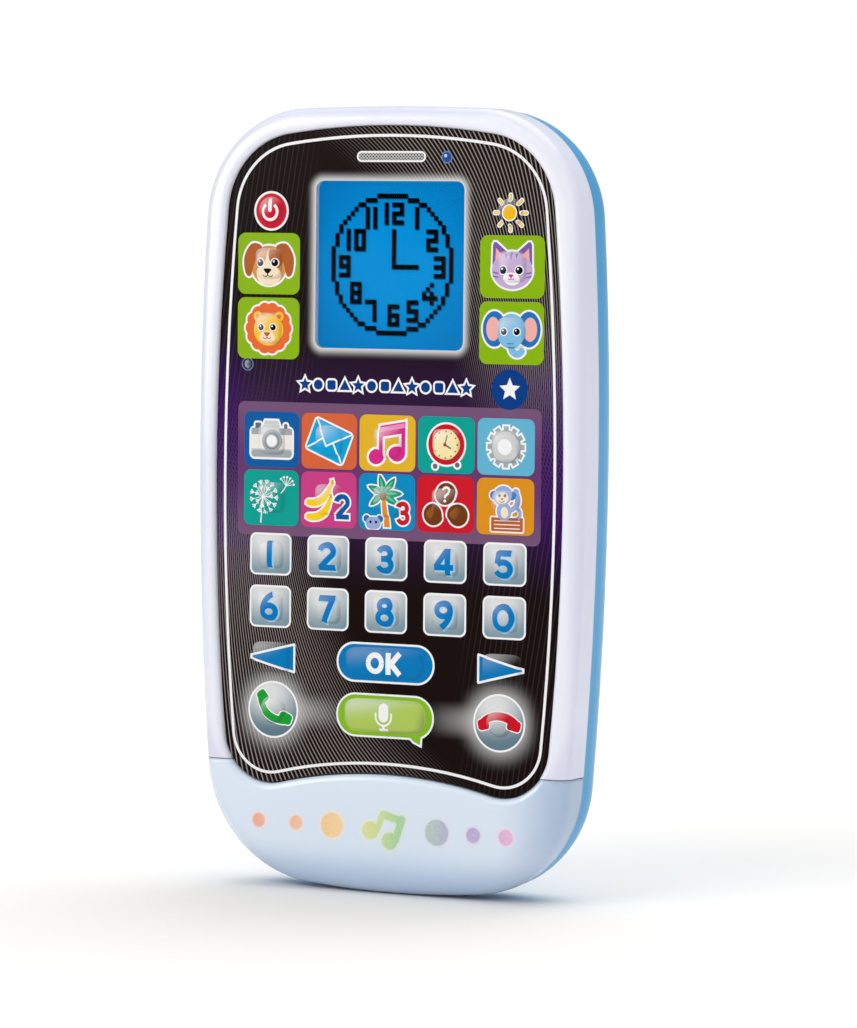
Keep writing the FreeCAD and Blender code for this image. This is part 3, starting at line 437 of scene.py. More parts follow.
def eyes(apart, z, size):
    """Two eyes, each with its light at the upper left."""
    layers = []
    for x in (-apart, apart):
        layers += [("white", disc(x, z, size * 1.3)), ("black", disc(x, z, size)),
                   ("white", disc(x - size * 0.3, z + size * 0.35, size * 0.28))]
    return layers


def nose(name, z, size):
    tip = rounded([(-size, z + size * 0.4), (0, z + size * 0.6), (size, z + size * 0.4),
                   (0, z - size * 0.6)])
    half, low = size * 0.62, z - size * 0.6
    return [(name, tip, *ribbons(0.18, arc(-half, low, half, 0, -160, 8),
                                 arc(half, low, half, 180, 340, 8)))]


def hair(start, reach, degrees, width, knob, steps):
    """A hair of the dandelion with a knob at its end."""
    end = polar(*start, reach, degrees)
    return [ribbon([start, end], width), disc(*end, knob, steps=steps)]


def leaves(*points):
    """The palm's leaves round its crown, all of one shape."""
    return [shift(rounded(points), -0.6, 1.7, turn) for turn in (0, 52, 104, 156, 214, -34)]


def rays(*ray):
    """The sun's rays, all of one shape."""
    return [shift(tile(3.2, 0, *ray), turn=45 * step) for step in range(8)]


TILES = {}  # keys with a picture on a tile: the tile's ink, and the picture

ears = both(rounded([(1.7, 3.5), (4.2, 4.2), (6.0, 1.4), (5.7, -2.0), (4.4, -2.6),
                     (3.5, 0.2)]))
TILES["dog"] = "green_tile", [
    *sticker(0.42, ("fur_tan", disc(0, -0.4, 4.3, 4.2)), ("fur_brown", *ears)),
    ("fur_brown", rounded([(0.5, 2.9), (2.6, 2.4), (3.3, 0.2), (1.9, -1.2), (0.5, 0.2)])),
    ("fur_cream", rounded([(0, 3.3), (0.55, 0.6), (2.9, -1.6), (2.3, -3.9), (0, -4.5),
                           (-2.3, -3.9), (-2.9, -1.6), (-0.55, 0.6)])),
    *eyes(1.75, 0.2, 0.78), *nose("black", -1.6, 0.95)]

tufts = [disc(x, z, 1.5, steps=20) for x, z in disc(0, 0, 4.1, 4.0, steps=14)]
TILES["lion"] = "green_tile", [
    *sticker(0.42, ("mane", *tufts, disc(0, 0, 4.5, 4.4))),
    ("fur_gold", *both(disc(2.6, 2.5, 1.05))), ("mane", *both(disc(2.6, 2.5, 0.5))),
    ("fur_gold", disc(0, -0.3, 3.6, 3.4)), ("fur_cream", disc(0, -1.9, 1.9, 1.35)),
    *eyes(1.45, 0.2, 0.66), *nose("fur_brown", -1.3, 0.75)]

brow = [[(x - 0.38, 3.0 - abs(x) * 0.25), (x + 0.38, 3.0 - abs(x) * 0.25), (x, 3.0 - down)]
        for x, down in ((-1.2, 1.3), (0, 1.8), (1.2, 1.3))]
whiskers = [ribbon([(side * 3.2, z), (side * 4.5, z + 0.25)], 0.28)
            for side in (-1, 1) for z in (-1.4, -2.2)]
ears = both([(0.9, 2.8), (3.7, 5.1), (4.2, 5.1), (4.5, 4.6), (4.6, 0.4)])
TILES["cat"] = "green_tile", [
    *sticker(0.42, ("fur_violet", *ears), ("fur_lilac", disc(0, -0.7, 4.7, 3.9))),
    ("blush", *both([(2.3, 2.4), (3.8, 3.9), (4.0, 1.2)])),
    ("fur_violet", *brow, *whiskers), ("white", disc(0, -2.5, 1.9, 1.35)),
    *eyes(1.85, -0.7, 0.8), *nose("magenta", -1.9, 0.6)]

trunk = [(0, -1)] + arc(1.3, -3.0, 1.3, 180, 325, 12)
head = disc(0, 0.4, 3.3, 3.6)
TILES["elephant"] = "green_tile", [
    *sticker(0.42, ("fur_blue", *both(disc(4.0, 0.8, 2.7, 3.7))),
             ("fur_sky", head, ribbon(trunk, 1.5), disc(*trunk[-1], 0.75, steps=20))),
    ("blush", *both(disc(4.3, 0.8, 1.6, 2.5))), ("fur_sky", head),
    ("fur_blue", *ribbons(0.2, [(-0.75, -2.2), (0.75, -2.2)], [(-0.75, -3.0), (0.75, -3.0)])),
    *eyes(1.5, 0.3, 0.7)]

lens = [(name, disc(0.4, -0.3, radius)) for name, radius in
        (("grey", 2.4), ("grey_dark", 1.75), ("grey", 1.6), ("white", 1.25))]
TILES["camera"] = "blue_tile", [
    *sticker(0.42, ("grey_light", tile(0, -0.7, 10.0, 6.3, 0.9),
                    [(-1.6, 4.0), (1.5, 4.0), (2.4, 1.8), (-2.5, 1.8)]),
             ("grey_dark", tile(-3.3, 2.9, 1.4, 1.2, 0.3), tile(3.4, 2.8, 0.8, 1.1, 0.3))),
    ("grey", tile(0, 1.7, 9.9, 1.3, 0.4)),
    ("grey_light", [(-1.6, 4.0), (1.5, 4.0), (2.4, 1.0), (-2.5, 1.0)]),
    ("paper", tile(0, -0.5, 9.9, 2.9, 0.1)), ("grey", tile(0, -3.0, 9.8, 1.5, 0.7)), *lens]

folds = ribbons(0.36, [(-4.4, 3.3), (0, -1.1), (4.4, 3.3)], *both([(4.4, -3.2), (1.3, 0.2)]))
TILES["mail"] = "orange_tile", moved([
    *sticker(0.4, ("sky_deep", tile(0, 0, 9.3, 6.9, 0.6))),
    ("sky", [(-4.3, 3.2), (4.3, 3.2), (0, -1.2)]), ("white", *folds)], turn=-22)

TILES["music"] = "yellow_tile", [
    *sticker(0.5, ("magenta", disc(-2.6, -2.9, 1.85, 1.6, 15), disc(2.4, -2.2, 1.85, 1.6, 15),
                   [(-1.7, -2.9), (-0.75, -2.9), (-0.75, 3.4), (-1.7, 3.2)],
                   [(3.3, -2.2), (4.25, -2.2), (4.25, 4.6), (3.3, 4.0)],
                   [(-1.7, 1.2), (4.25, 2.2), (4.25, 4.6), (-1.7, 3.6)])),
    ("pink", [(-1.5, 2.3), (4.05, 3.3), (4.05, 4.3), (-1.5, 3.35)])]

hours = [disc(x, z, 0.17, steps=10) for x, z in disc(0, 0.1, 2.75, steps=12)]
TILES["alarm"] = "teal_tile", [
    *sticker(0.42, ("grey_dark", disc(-2.6, -4.5, 0.55), disc(2.6, -4.1, 0.55)),
             ("red", disc(0, 0.1, 4.25))),
    ("cream", disc(0, 0.1, 3.2)), ("husk", *hours),
    ("grey_dark", ribbon([(0, 0.1), (0.5, 2.1)], 0.3), ribbon([(0, 0.1), (1.4, -0.7)], 0.36)),
    ("red", disc(0, 0.1, 0.4))]

gear = [polar(0, 0, radius, 30 * step + part) for step in range(12)
        for part, radius in ((-9, 3.5), (-7, 4.3), (7, 4.3), (9, 3.5))]
TILES["settings"] = "sky_tile", [
    *sticker(0.42, ("grey", gear)), ("grey_light", disc(0, 0, 3.2)), ("white", disc(0, 0, 1.65))]

head, seed = (-1.6, 0.2), (3.6, 2.6)
shapes = [ribbon([head, (-2.3, -2.6), (-2.5, -5.4)], 0.3), ribbon([(2.6, 1.0), seed], 0.22)]
for count, radius in ((7, 1.5), (13, 2.75)):
    for step in range(count):
        angle = 360 * (step / count + 0.3)
        tip = polar(*head, radius, angle)
        shapes.append(ribbon([head, tip], 0.12))
        for lean in (-31.51, 0, 31.51):
            shapes += hair(tip, 0.75, angle + lean, 0.2, 0.17, 8)
for step in range(6):
    shapes += hair(seed, 1.9, 10 + 24 * step, 0.14, 0.26, 10)
TILES["dandelion"] = "teal_tile", [("white", *shapes)]

fruit = (arc(-3.6, 3.1, 4.6, -108, -8, 12) + [(1.25, 3.7), (0.65, 3.9)]
         + arc(-4.2, 4.6, 4.6, -20, -92, 12) + [(-5.0, -0.05), (-5.45, -0.4), (-5.5, -0.95)])
one = [("banana", fruit), ("banana_shade", ribbon([(0.95, 3.4), (0.75, 4.3)], 0.55))]
TILES["bananas"] = "magenta_tile", [
    *sticker(0.36, *one, *moved(one, 0, -3.0)),
    *sticker(0.36, ("blue_tile", *digit("2", 0.86, 1.2, 1.0, 3.4, -1.4)))]

TILES["palm"] = "cyan_tile", [
    *sticker(0.32, ("bark", [(-0.9, 1.6), (0.0, 1.6), (0.8, -5.3), (-0.6, -5.3)]),
             ("leaf", *leaves((0.3, 0), (2.0, 0.85), (4.2, 0.15), (2.0, -0.75)))),
    ("leaf_pale", *leaves((0.6, 0.1), (1.9, 0.42), (3.4, 0.14), (1.9, -0.1))),
    ("husk_pale", disc(-0.6, 1.2, 0.85)),
    *sticker(0.28, ("fur_blue", disc(-4.8, -3.6, 0.75), disc(-1.6, -3.6, 0.75)),
             ("fur_steel", tile(-3.2, -4.5, 3.5, 2.6, 1.25))),
    ("black", disc(-3.85, -4.3, 0.3, steps=14), disc(-2.55, -4.3, 0.3, steps=14)),
    *sticker(0.34, ("red_tile", *digit("3", 0.8, 1.25, 1.0, 3.9, -2.2)))]

light = rounded([(-1.7, 0.3), (-0.2, 1.7), (0.3, 0.6), (-0.9, -0.9)])
layers = []
for x, z in ((-2.9, -2.2), (2.9, -2.2), (0.1, 2.2)):
    layers += [*sticker(0.36, ("husk", disc(x, z, 2.3))), ("husk_pale", shift(light, x, z))]
mark = arc(0.1, 2.75, 0.8, 165, -60, 12) + [(0.15, 1.75), (0.12, 1.35)]
layers.append(("white", ribbon(mark, 0.5), disc(0.12, 0.75, 0.33, steps=16)))
TILES["coconuts"] = "red_tile", layers

TILES["monkey"] = "amber_tile", [
    *sticker(0.32, ("plank", tile(0.4, -3.7, 7.4, 2.9, 0.2)),
             ("fur_steel", ribbon(arc(2.3, -1.4, 1.2, -60, 100, 8), 0.6),
              disc(0, -1.0, 1.7, 1.9), ribbon(arc(0.8, 1.4, 2.2, -75, 45, 10), 1.0),
              disc(2.4, 3.1, 0.7, steps=20)),
             ("fur_blue", disc(-2.7, 2.3, 0.9), disc(1.7, 2.3, 0.9)),
             ("fur_steel", disc(-0.5, 2.3, 2.2, 2.0))),
    ("white", *ribbons(0.2, *([(-2.6, z), (3.4, z)] for z in (-2.95, -3.75, -4.55)))),
    ("fur_cream", disc(0.1, -1.2, 0.9, 1.2), disc(-0.5, 1.8, 1.5, 1.2)),
    ("black", disc(-1.15, 2.3, 0.34, steps=14), disc(0.15, 2.3, 0.34, steps=14)),
    ("husk", disc(-0.5, 1.6, 0.3, 0.2, steps=12),
     ribbon(arc(-0.5, 1.5, 0.6, 200, 340, 8), 0.16))]

mark = ribbons(0.62, *(arc(0, -0.15, 1.72, start, start + 145, 14) for start in (125, 270)))
POWER = [("white", disc(0, 0, 4.05, steps=64)), ("power_red", disc(0, 0, 3.72, steps=64)),
         ("white", *mark, tile(0, 1.25, 0.85, 2.9, 0.4))]

SUN = [*sticker(0.26, ("sun", disc(0, 0, 1.5), *rays(1.45, 0.55, 0.25))),
       ("sun_pale", *rays(0.9, 0.2, 0.1))]

RIGHT, LEFT = (sticker(0.5, ("ok_blue", arrow)) for arrow in both(
    [(-5.3, 2.65), (-5.3, -2.65), (4.7, -0.12), (4.7, 0.12)]))

letters = [*ribbons(1.15, *ring(-2.15, 0, 1.6, 1.72, 12)),
           *ribbons(1.2, [(1.0, -2.3), (1.0, 2.3)], [(1.5, 0.25), (3.7, -2.3)],
                    [(1.5, -0.25), (3.7, 2.3)])]
OK = [("white", tile(0, 0, 23.3, 8.4, 4.2, 14)), ("ok_blue", tile(0, 0, 22.5, 7.6, 3.8, 14)),
      ("white", *letters)]

TALK_TAIL = [(4.9, -3.2), (8.6, -3.2), (8.45, -5.65), (6.9, -5.0), (5.7, -3.9)]
stand = ribbons(0.42, arc(0, -0.1, 1.85, 180, 270, 10), arc(0, -0.1, 1.85, 270, 360, 10),
                *both([(1.85, -0.15), (1.85, 0.7)]))
TALK = [*sticker(0.42, ("talk_green", tile(0, 0, 22.5, 8.5, 4.2, 14), TALK_TAIL)),
        ("talk_cap", tile(0, 0, 19.2, 7.0, 2.7, 10)),
        ("white", tile(0, 0.75, 2.3, 4.0, 1.15), *stand,
         ribbon([(0, -1.8), (0, -2.9)], 0.6), tile(0, -2.9, 2.2, 0.6, 0.28))]


def picture_handset(name, x=0.0, z=0.0, turn=0.0):
    """A receiver lying across the key, its ends bent down, turned about its middle."""
    ends = [shift(tile(0, 0, 2.9, 2.3, 0.75), side * 3.55, -0.4, -side * 14) for side in (-1, 1)]
    back = ribbon(arc(0, -3.96, 5.46, 136, 44, 20), 1.7)
    return moved(sticker(0.24, (name, back, *ends)), x, z, turn)


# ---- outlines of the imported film

def extent(points):
    """Left, bottom, right and top of a shape."""
    return [pick(point[axis] for point in points) for pick in (min, max) for axis in (0, 1)]


def front_loops(node):
    """Closed outlines of the faces at a node's front, as points in mm, the longest first."""
    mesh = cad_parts[node].data
    front = min(vertex.co.y for vertex in mesh.vertices)
    edges = {}
    for polygon in mesh.polygons:
        corners = [mesh.vertices[index].co for index in polygon.vertices]
        if all(abs(corner.y - front) < 1e-6 for corner in corners):
            names = [(round(c.x / MM, 3), round(c.z / MM, 3)) for c in corners]
            edges.update(dict.fromkeys(zip(names, names[1:] + names[:1])))
    following = {first: second for first, second in edges if (second, first) not in edges}
    loops = []
    while following:
        first = next(iter(following))
        loop = []
        while first in following:
            loop.append(first)
            first = following.pop(first)
        loops.append(loop)
    return sorted(loops, reverse=True, key=lambda loop: sum(
        math.dist(a, b) for a, b in zip(loop, loop[1:] + loop[:1])))


def closest_loop(place):
    def away(loop):
        left, bottom, right, top = extent(loop)
        return math.dist(place, ((left + right) / 2, (bottom + top) / 2))
    return min(film_holes, key=away)


FILM_Y, FILM_BACK = (corner.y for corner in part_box("face_label"))
face_outline, *film_holes = front_loops("face_label")
window = closest_loop((0, middle("screen_glass")[1]))
WINDOW_LEFT, WINDOW_LOW, WINDOW_RIGHT, WINDOW_HIGH = extent(window)
WINDOW_WIDTH, WINDOW_HEIGHT = WINDOW_RIGHT - WINDOW_LEFT, WINDOW_HIGH - WINDOW_LOW
WINDOW_ROW = (WINDOW_LOW + WINDOW_HIGH) / 2
mouth_middle = middle("microphone")
mouth = closest_loop(mouth_middle)


# ---- the film's background

TURNED = 186.0  # the hatch is the same turned half round: heights z and TURNED - z match
FAN_TOP, FAN_BEND, FAN_SPREAD = 156.0, 28.0, 0.0225  # the lines lean most at the fan's top
PANEL = (0, 89.3, 72.2, 28.4, 1.6)  # purple panel: middle, width, height and corner


def make_background():
    """Black-brown to purple film with fanned fine lines, glows and the purple panel, and the
    painted highlight and shade of a dome where the film lies over one.
    """
    dark = (24, 13, 11)
    paint = Paint("film_background", dark, **FILM_GLOSS)
    x, z = paint.xz()
    smooth, mix = paint.smooth, paint.mix
    aside = abs(x)
    purple = mix(smooth(aside, 30, 41), (48, 24, 62), (56, 12, 90))

    # the lower half reads the upper half's rules
    lower = z < TURNED / 2
    way = 1.0 - lower * 2.0
    across, up = x * way, z * way + lower * TURNED
    bent = (1.0 - paint.math("EXPONENT", (FAN_TOP - up) / -FAN_BEND)) * FAN_BEND
    start = (across - bent) / (1.0 - bent * FAN_SPREAD)
    fan = stripes(paint, start, 0.96, 0.27) * smooth(start, -15, 11) * smooth(up, 92, 118)
    faint = (stripes(paint, across - up * 0.16, 1.24, 0.24) * smooth(across, -15, -24)
             * smooth(up, 96, 112) * 0.035)
    # two crossing sets run through the middle; they are the same turned half round
    rise = z - TURNED / 2
    sides = smooth(aside, 22, 31) * smooth(x * rise, -700, 200) * smooth(abs(rise), 44, 18)
    fine = paint.math("MAXIMUM", stripes(paint, x * 0.86 + rise * 0.50, 0.66, 0.4),
                      stripes(paint, x * 0.96 + rise * -0.26, 0.8, 0.36))

    panel = mix(smooth(abs(z - PANEL[1]), 2, 14), (106, 60, 114), (120, 86, 122))
    around = smooth(paint.outside(0, WINDOW_ROW, WINDOW_WIDTH, WINDOW_HEIGHT, 1.8), 2.7, -0.3)
    column, row = middle("key_hang_up")[0], middle("key_call")[1]
    beam = smooth(abs(z - row), 4.4, 0.2, 0.0, 0.36)
    clear = 1.0 - beam * smooth(aside, 8, 20) * smooth(aside, 34, 26)
    for side in (-1, 1):
        near = smooth(paint.distance(side * column, row), 11.6, 4.4)
        clear = clear * (1.0 - near * near * 0.68)
    # painted highlight and painted shade where the film lies over a dome
    return paint.colour(paint.painted_dome_light(paint.over(
        dark, (smooth(z, 62, 84) * smooth(z, 122, 100), purple), (fan * 0.84, (160, 152, 148)),
        (fine * sides * 0.22, (116, 94, 126)), (faint, (170, 165, 165)),
        (smooth(paint.outside(*PANEL), 0.06, -0.06, 0.0, 0.9), panel),
        (around * around * 0.96, (224, 223, 221)),
        ((1.0 - clear) * smooth(aside, 38, 33), (214, 212, 211)))))


film_background = make_background()


# ---- printed sheets

def press_sheet(name, outline, layers, base, height, guides=(), holes=(), dome=None):
    """A printed sheet inside an outline, raised by height(x, z), in one mesh, in mm."""
    layers = [(chosen, shape) for chosen, *shapes in layers for shape in shapes]
    first_layer = 1 + len(guides)
    first_hole = first_layer + len(layers)
    points, faces = [], []
    for shape in (outline, *guides, *(shape for _, shape in layers), *holes):
        faces.append(list(range(len(points), len(points) + len(shape))))
        points.extend(Vector(point) for point in (shape if turns_left(shape) else shape[::-1]))
    flat, _, triangles, _, _, sources = delaunay_2d_cdt(points, [], faces, 1, 1e-4)
    slots, kept, used = [], [], []
    for triangle, source in zip(triangles, sources):
        if 0 not in source or any(index >= first_hole for index in source):
            continue
        top = max((index for index in source if index >= first_layer), default=None)
        chosen = base if top is None else layers[top - first_layer][0]
        if chosen not in slots:
            slots.append(chosen)
        kept.append(triangle)
        used.append(slots.index(chosen))
    order = sorted({index for triangle in kept for index in triangle})
    renumbered = {index: place for place, index in enumerate(order)}
    flat = [flat[index] for index in order]
    kept = [[renumbered[index] for index in triangle] for triangle in kept]
    corners = [(p.x * MM, FILM_Y - height(p.x, p.y) * MM, p.y * MM) for p in flat]
    normals = [slope_normal(height, p) for p in flat]
    add_walls(flat, kept, used, corners, normals)
    sheet = add_mesh(name, corners, kept, *(ink(chosen) if isinstance(chosen, str) else chosen
                                            for chosen in slots))
    mesh = sheet.data
    mesh.polygons.foreach_set("material_index", used)
    mesh.polygons.foreach_set("use_smooth", [True] * len(kept))
    mesh.normals_split_custom_set_from_vertices(normals)
    if dome:
        x, z, width, height, square = dome
        places = mesh.attributes.new("dome", "FLOAT_VECTOR", "POINT").data
        for place, corner in zip(places, corners):
            place.vector = ((corner[0] / MM - x) / width * 2, (corner[2] / MM - z) / height * 2,
                            square)
    return sheet


def slope_normal(height, p, step=0.02):
    slope_x = (height(p.x + step, p.y) - height(p.x - step, p.y)) / (2 * step)
    slope_z = (height(p.x, p.y + step) - height(p.x, p.y - step)) / (2 * step)
    return Vector((-slope_x, -1, -slope_z)).normalized()


def add_walls(flat, faces, used, corners, normals):
    """The sheet's thickness, seen at its rim and round its holes."""
    owner = {}
    for number, face in enumerate(faces):
        for first, second in zip(face, face[1:] + face[:1]):
            owner[(first, second)] = number
    for (first, second), number in list(owner.items()):
        a, b = flat[first], flat[second]
        across = unit(b.x - a.x, b.y - a.y)
        if (second, first) in owner or not across:
            continue
        base = len(corners)
        for p, y in ((a, FILM_Y), (b, FILM_Y), (b, FILM_BACK), (a, FILM_BACK)):
            corners.append((p.x * MM, y, p.y * MM))
            normals.append(Vector((across[1], 0, -across[0])))
        faces.append([base, base + 3, base + 2, base + 1])
        used.append(used[number])


# ---- keys

RISE = 0.7  # how far a dome stands out of the film, in mm
FOOT = 0.85  # width of the dome's rounded side
CROWN = 0.3  # part of the rise that is spread over the whole top
BORDER = 0.42  # white line round a silver key


def inside(x, z, width, height, corner):
    """Depth inside a rounded rectangle, under zero outside it."""
    over_x = max(abs(x) - width / 2 + corner, 0.0)
    over_z = max(abs(z) - height / 2 + corner, 0.0)
    deep = min(width / 2 - abs(x), height / 2 - abs(z))
    return corner - math.hypot(over_x, over_z) if over_x or over_z else deep


def dome_height(x, z, dome):
    depth = inside(x, z, *dome)
    if depth <= 0:
        return 0.0
    side = min(depth / FOOT, 1.0)
    pillow = (1 - (2 * x / dome[0]) ** 2) * (1 - (2 * z / dome[1]) ** 2)
    return side * side * (3 - 2 * side) * (RISE - CROWN + CROWN * pillow)


def dome_guides(x, z, width, height, corner):
    """Lines of equal height on the dome, for the mesh to follow."""
    top = min(width, height) / 2 - FOOT
    depths = [FOOT * share for share in (0, 0.12, 0.25, 0.4, 0.55, 0.7, 0.85, 1.0)]
    depths += [FOOT + top * share for share in (0.3, 0.6, 0.85)]
    return [tile(x, z, width - 2 * d, height - 2 * d, corner - d * 0.9, 8) for d in depths]


def silver_field(node, x, z, outline, around):
    """Silver inside the white border, darker from the upper left to the lower right."""
    light, dark = (222, 223, 223), (96, 124, 138) if around else (122, 148, 160)
    paint = Paint("silver_" + node, light, **KEY_GLOSS)
    here_x, here_z = paint.xz()
    across, down = here_x - (x - 1.2), z + 3.6 - here_z
    far = paint.math("SQRT", across * across * 0.7 + down * down)
    # the silver field also carries the dome's painted highlight and painted shade
    material = paint.colour(paint.painted_dome_light(paint.mix(paint.smooth(far, 1.0, 8.5), light, dark)))
    width, height = (2 * size for size in extent(outline)[2:])
    corner, steps = (width / 2 - BORDER, 18) if around else (1.15, 7)
    return material, tile(0, 0, width - 2 * BORDER, height - 2 * BORDER, corner, steps)


def make_key(node, outline, dome, base, picture):
    """The film of one key, pressed over its dome; gives back its outline on the face."""
    low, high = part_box(node)
    x, z = middle(node)
    around = abs(dome[2] - dome[0] / 2) < 0.01
    if base == "silver":
        base, picture = "white", [silver_field(node, x, z, outline, around), *picture]
    outline = shift(outline, x, z)
    sheet = press_sheet("film_" + node, outline, moved(picture, x, z), base,
                        lambda u, v: dome_height(u - x, v - z, dome), dome_guides(x, z, *dome),
                        dome=(x, z, dome[0], dome[1], 2.0 if around else 5.0))
    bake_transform(sheet)
    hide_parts(node)
    return outline


ROUND_DOME, TILE_DOME, DIGIT_DOME = (6.1, 6.1, 3.05), (6.6, 6.6, 1.8), (6.3, 6.3, 1.8)
ARROW, HANDSET = tile(0, 0, 12.4, 8.0, 2.4, 8), disc(0, 0, 6.1, steps=72)
KEYS = {  # outline, dome, ink or material under the picture, and picture
    "power": (disc(0, 0, 4.2, steps=72), ROUND_DOME, "white", POWER),
    "sun": (disc(0, 0, 4.6, steps=72), ROUND_DOME, film_background, SUN),
    "arrow_left": (ARROW, (9.3, 6.6, 2.0), film_background, LEFT),
    "arrow_right": (ARROW, (9.3, 6.6, 2.0), film_background, RIGHT),
    "ok": (tile(0, 0, 23.4, 8.5, 4.2, 14), (19.0, 6.6, 3.0), "white", OK),
    "talk": (tile(0, 0, 23.34, 9.34, 4.6, 14), (19.4, 7.2, 2.8), film_background,
             TALK),
    "call": (HANDSET, ROUND_DOME, "silver", picture_handset("call_green", 0.05, 0.15, 142)),
    "hang_up": (HANDSET, ROUND_DOME, "silver", picture_handset("red")),
}
for name, (base, picture) in TILES.items():
    outline = tile(0, 0, *((15.0, 13.0, 1.8) if base == "green_tile" else (13.3, 11.8, 1.6)), 8)
    KEYS[name] = (outline, TILE_DOME, base, picture)
for text in "1234567890":
    KEYS[text] = (tile(0, 0, 10.1, 9.0, 1.5, 8), DIGIT_DOME, "silver", picture_digit(text))
key_outlines = [make_key("key_" + name, *key) for name, key in KEYS.items()]


# ---- the film between the keys

SIGN_ROW = 107.4  # height of the row of signs under the display
SIGN_COUNT, SIGN_START, SIGN_SPAN = 13, -19.9, 38.4
BADGE = (28.6, SIGN_ROW)
LENS = (13.4, 155.4)


def line_bands(depth, width):
    """The white line as short bands that meet, a fixed depth inside the face's outline."""
    outer, inner = grown(face_outline, -depth), grown(face_outline, -depth - width)
    count = len(outer)
    step = max(1, count // 24)
    bands = []
    for start in range(0, count, step):
        picks = [index % count for index in range(start, min(start + step, count) + 1)]
        bands.append([outer[i] for i in picks] + [inner[i] for i in reversed(picks)])
    return [("white", *bands)]


def print_signs():
    """A row of plain signs and a round badge, where such a toy has its name."""
    signs = [star(0, 0, 1.5), disc(0, 0, 1.05), tile(0, 0, 2.0, 2.0, 0.5),
             [(-1.25, -1.0), (1.25, -1.0), (0, 1.25)]]
    layers = []
    for number in range(SIGN_COUNT):
        x = SIGN_START + SIGN_SPAN * number / (SIGN_COUNT - 1)
        layers += sticker(0.42, ("sign_blue", shift(signs[number % len(signs)], x, SIGN_ROW)))
    return layers + [("sign_blue", disc(*BADGE, 4.2, steps=64)), ("white", star(*BADGE, 2.5))]


def ear_mesh(paint):
    x, z = paint.xz()
    return paint.math("MAXIMUM", stripes(paint, x + z, 0.72, 0.36),
                      stripes(paint, x - z, 0.72, 0.36))


face = [
    *line_bands(1.75, 0.62),
    ("white", tile(0.3, 155.5, 16.4, 2.3, 1.15)),
    (two_tone("ear_mesh", (48, 42, 44), (196, 194, 195), ear_mesh, **FILM_GLOSS),
     tile(0.3, 155.5, 15.6, 1.5, 0.75)),
    ("lens_rim", disc(*LENS, 1.3)), ("lens_blue", disc(*LENS, 1.02)),
    ("lens_light", disc(LENS[0] - 0.3, LENS[1] + 0.3, 0.34)),
    ("lens_rim", *ribbons(0.24, *ring(*mouth_middle, 1.3, 1.3, 24))),
    *moved(sticker(0.42, ("talk_green", TALK_TAIL)), *middle("key_talk")),
    *print_signs(),
]
sheet = press_sheet("film_face", face_outline, face, film_background, lambda x, z: 0.0,
                    holes=key_outlines + [window, mouth])
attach(sheet, "handset")
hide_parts("face_label")


# ---- the clock on the display

# the dark pixels in the rows of each digit; the lowest bit is the pixel at the left
GLYPHS = {"0": "75557", "1": "11111", "2": "74717", "3": "74747", "4": "425F4", "5": "71747",
          "6": "71757", "7": "74444", "8": "75757", "9": "75747"}
HOURS = {(14, 2): "1", (16, 2): "2", (22, 3): "1", (25, 8): "2", (27, 14): "3", (24, 20): "4",
         (20, 24): "5", (15, 25): "6", (9, 24): "7", (5, 20): "8", (2, 14): "9", (4, 8): "1",
         (6, 8): "0", (9, 3): "1", (11, 3): "1"}
DIAL = 32  # pixels across the dial
DIAL_START = (3.3, 2.85)  # pixels left of the dial and above it
PITCH = (WINDOW_WIDTH / 39, WINDOW_HEIGHT / 38)  # the display has 39 by 38 pixels
OVERLAP = 0.03  # pixels that a dark square reaches into its neighbours


def clock_pixels():
    """Columns and rows of the dark pixels: ring, hours and the two hands at three o'clock."""
    centre = (DIAL - 1) / 2
    pixels = {(16, row) for row in range(8, 17)} | {(column, 16) for column in range(16, 23)}
    for step in range(5, DIAL - 5):
        rise = math.sqrt((centre + 0.05) ** 2 - (step - centre) ** 2)
        for edge in (round(centre - rise), round(centre + rise)):
            pixels |= {(step, edge), (edge, step)}
    for (column, row), text in HOURS.items():
        for down, bits in enumerate(GLYPHS[text]):
            pixels |= {(column + place, row + down) for place in range(4)
                       if int(bits, 16) >> place & 1}
    return sorted(pixels)


def pixel_sheet(name, away, slide, colour, emission=0.0):
    """A square for each dark pixel, some mm in front of the display and slid by some mm."""
    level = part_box("screen_glass")[0].y - away * MM
    paint = Paint(name + "_ink", colour, 0.5, Specular_IOR_Level=0.0, Emission_Color=colour,
                  Emission_Strength=emission)
    near, far = -OVERLAP, 1 + OVERLAP
    corners, faces = [], []
    for column, row in clock_pixels():
        left = WINDOW_LEFT + (DIAL_START[0] + column) * PITCH[0] + slide
        top = WINDOW_HIGH - (DIAL_START[1] + row) * PITCH[1] - slide
        faces.append(range(len(corners), len(corners) + 4))
        for u, v in ((near, far), (far, far), (far, near), (near, near)):
            corners.append(((left + u * PITCH[0]) * MM, level, (top - v * PITCH[1]) * MM))
    sheet = add_mesh(name, corners, faces, paint.material)
    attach(sheet, "handset")


pixel_sheet("clock_pixels", 0.04, 0.0, (2, 3, 5))
# painted shadow: a dark blue copy of the pixels, slid down and right, for the shade they cast on
# the backlight
pixel_sheet("clock_shadow", 0.02, 0.22, (0, 44, 84), 0.7)


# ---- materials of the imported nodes

def drift(size):
    """A colour that changes a little from place to place."""
    return lambda paint: paint.smooth(paint.noise(size), 0.3, 0.7)


# Painted highlight along the film's edge: the share of the bezel's paler colour, full next to the
# film.
def painted_highlight_by_film(paint):
    left, low, right, high = extent(face_outline)
    away = paint.outside((left + right) / 2, (low + high) / 2, right - left, high - low, 19.0)
    return paint.smooth(away + paint.noise(9.0) * 0.8, 4.5, 1.0)


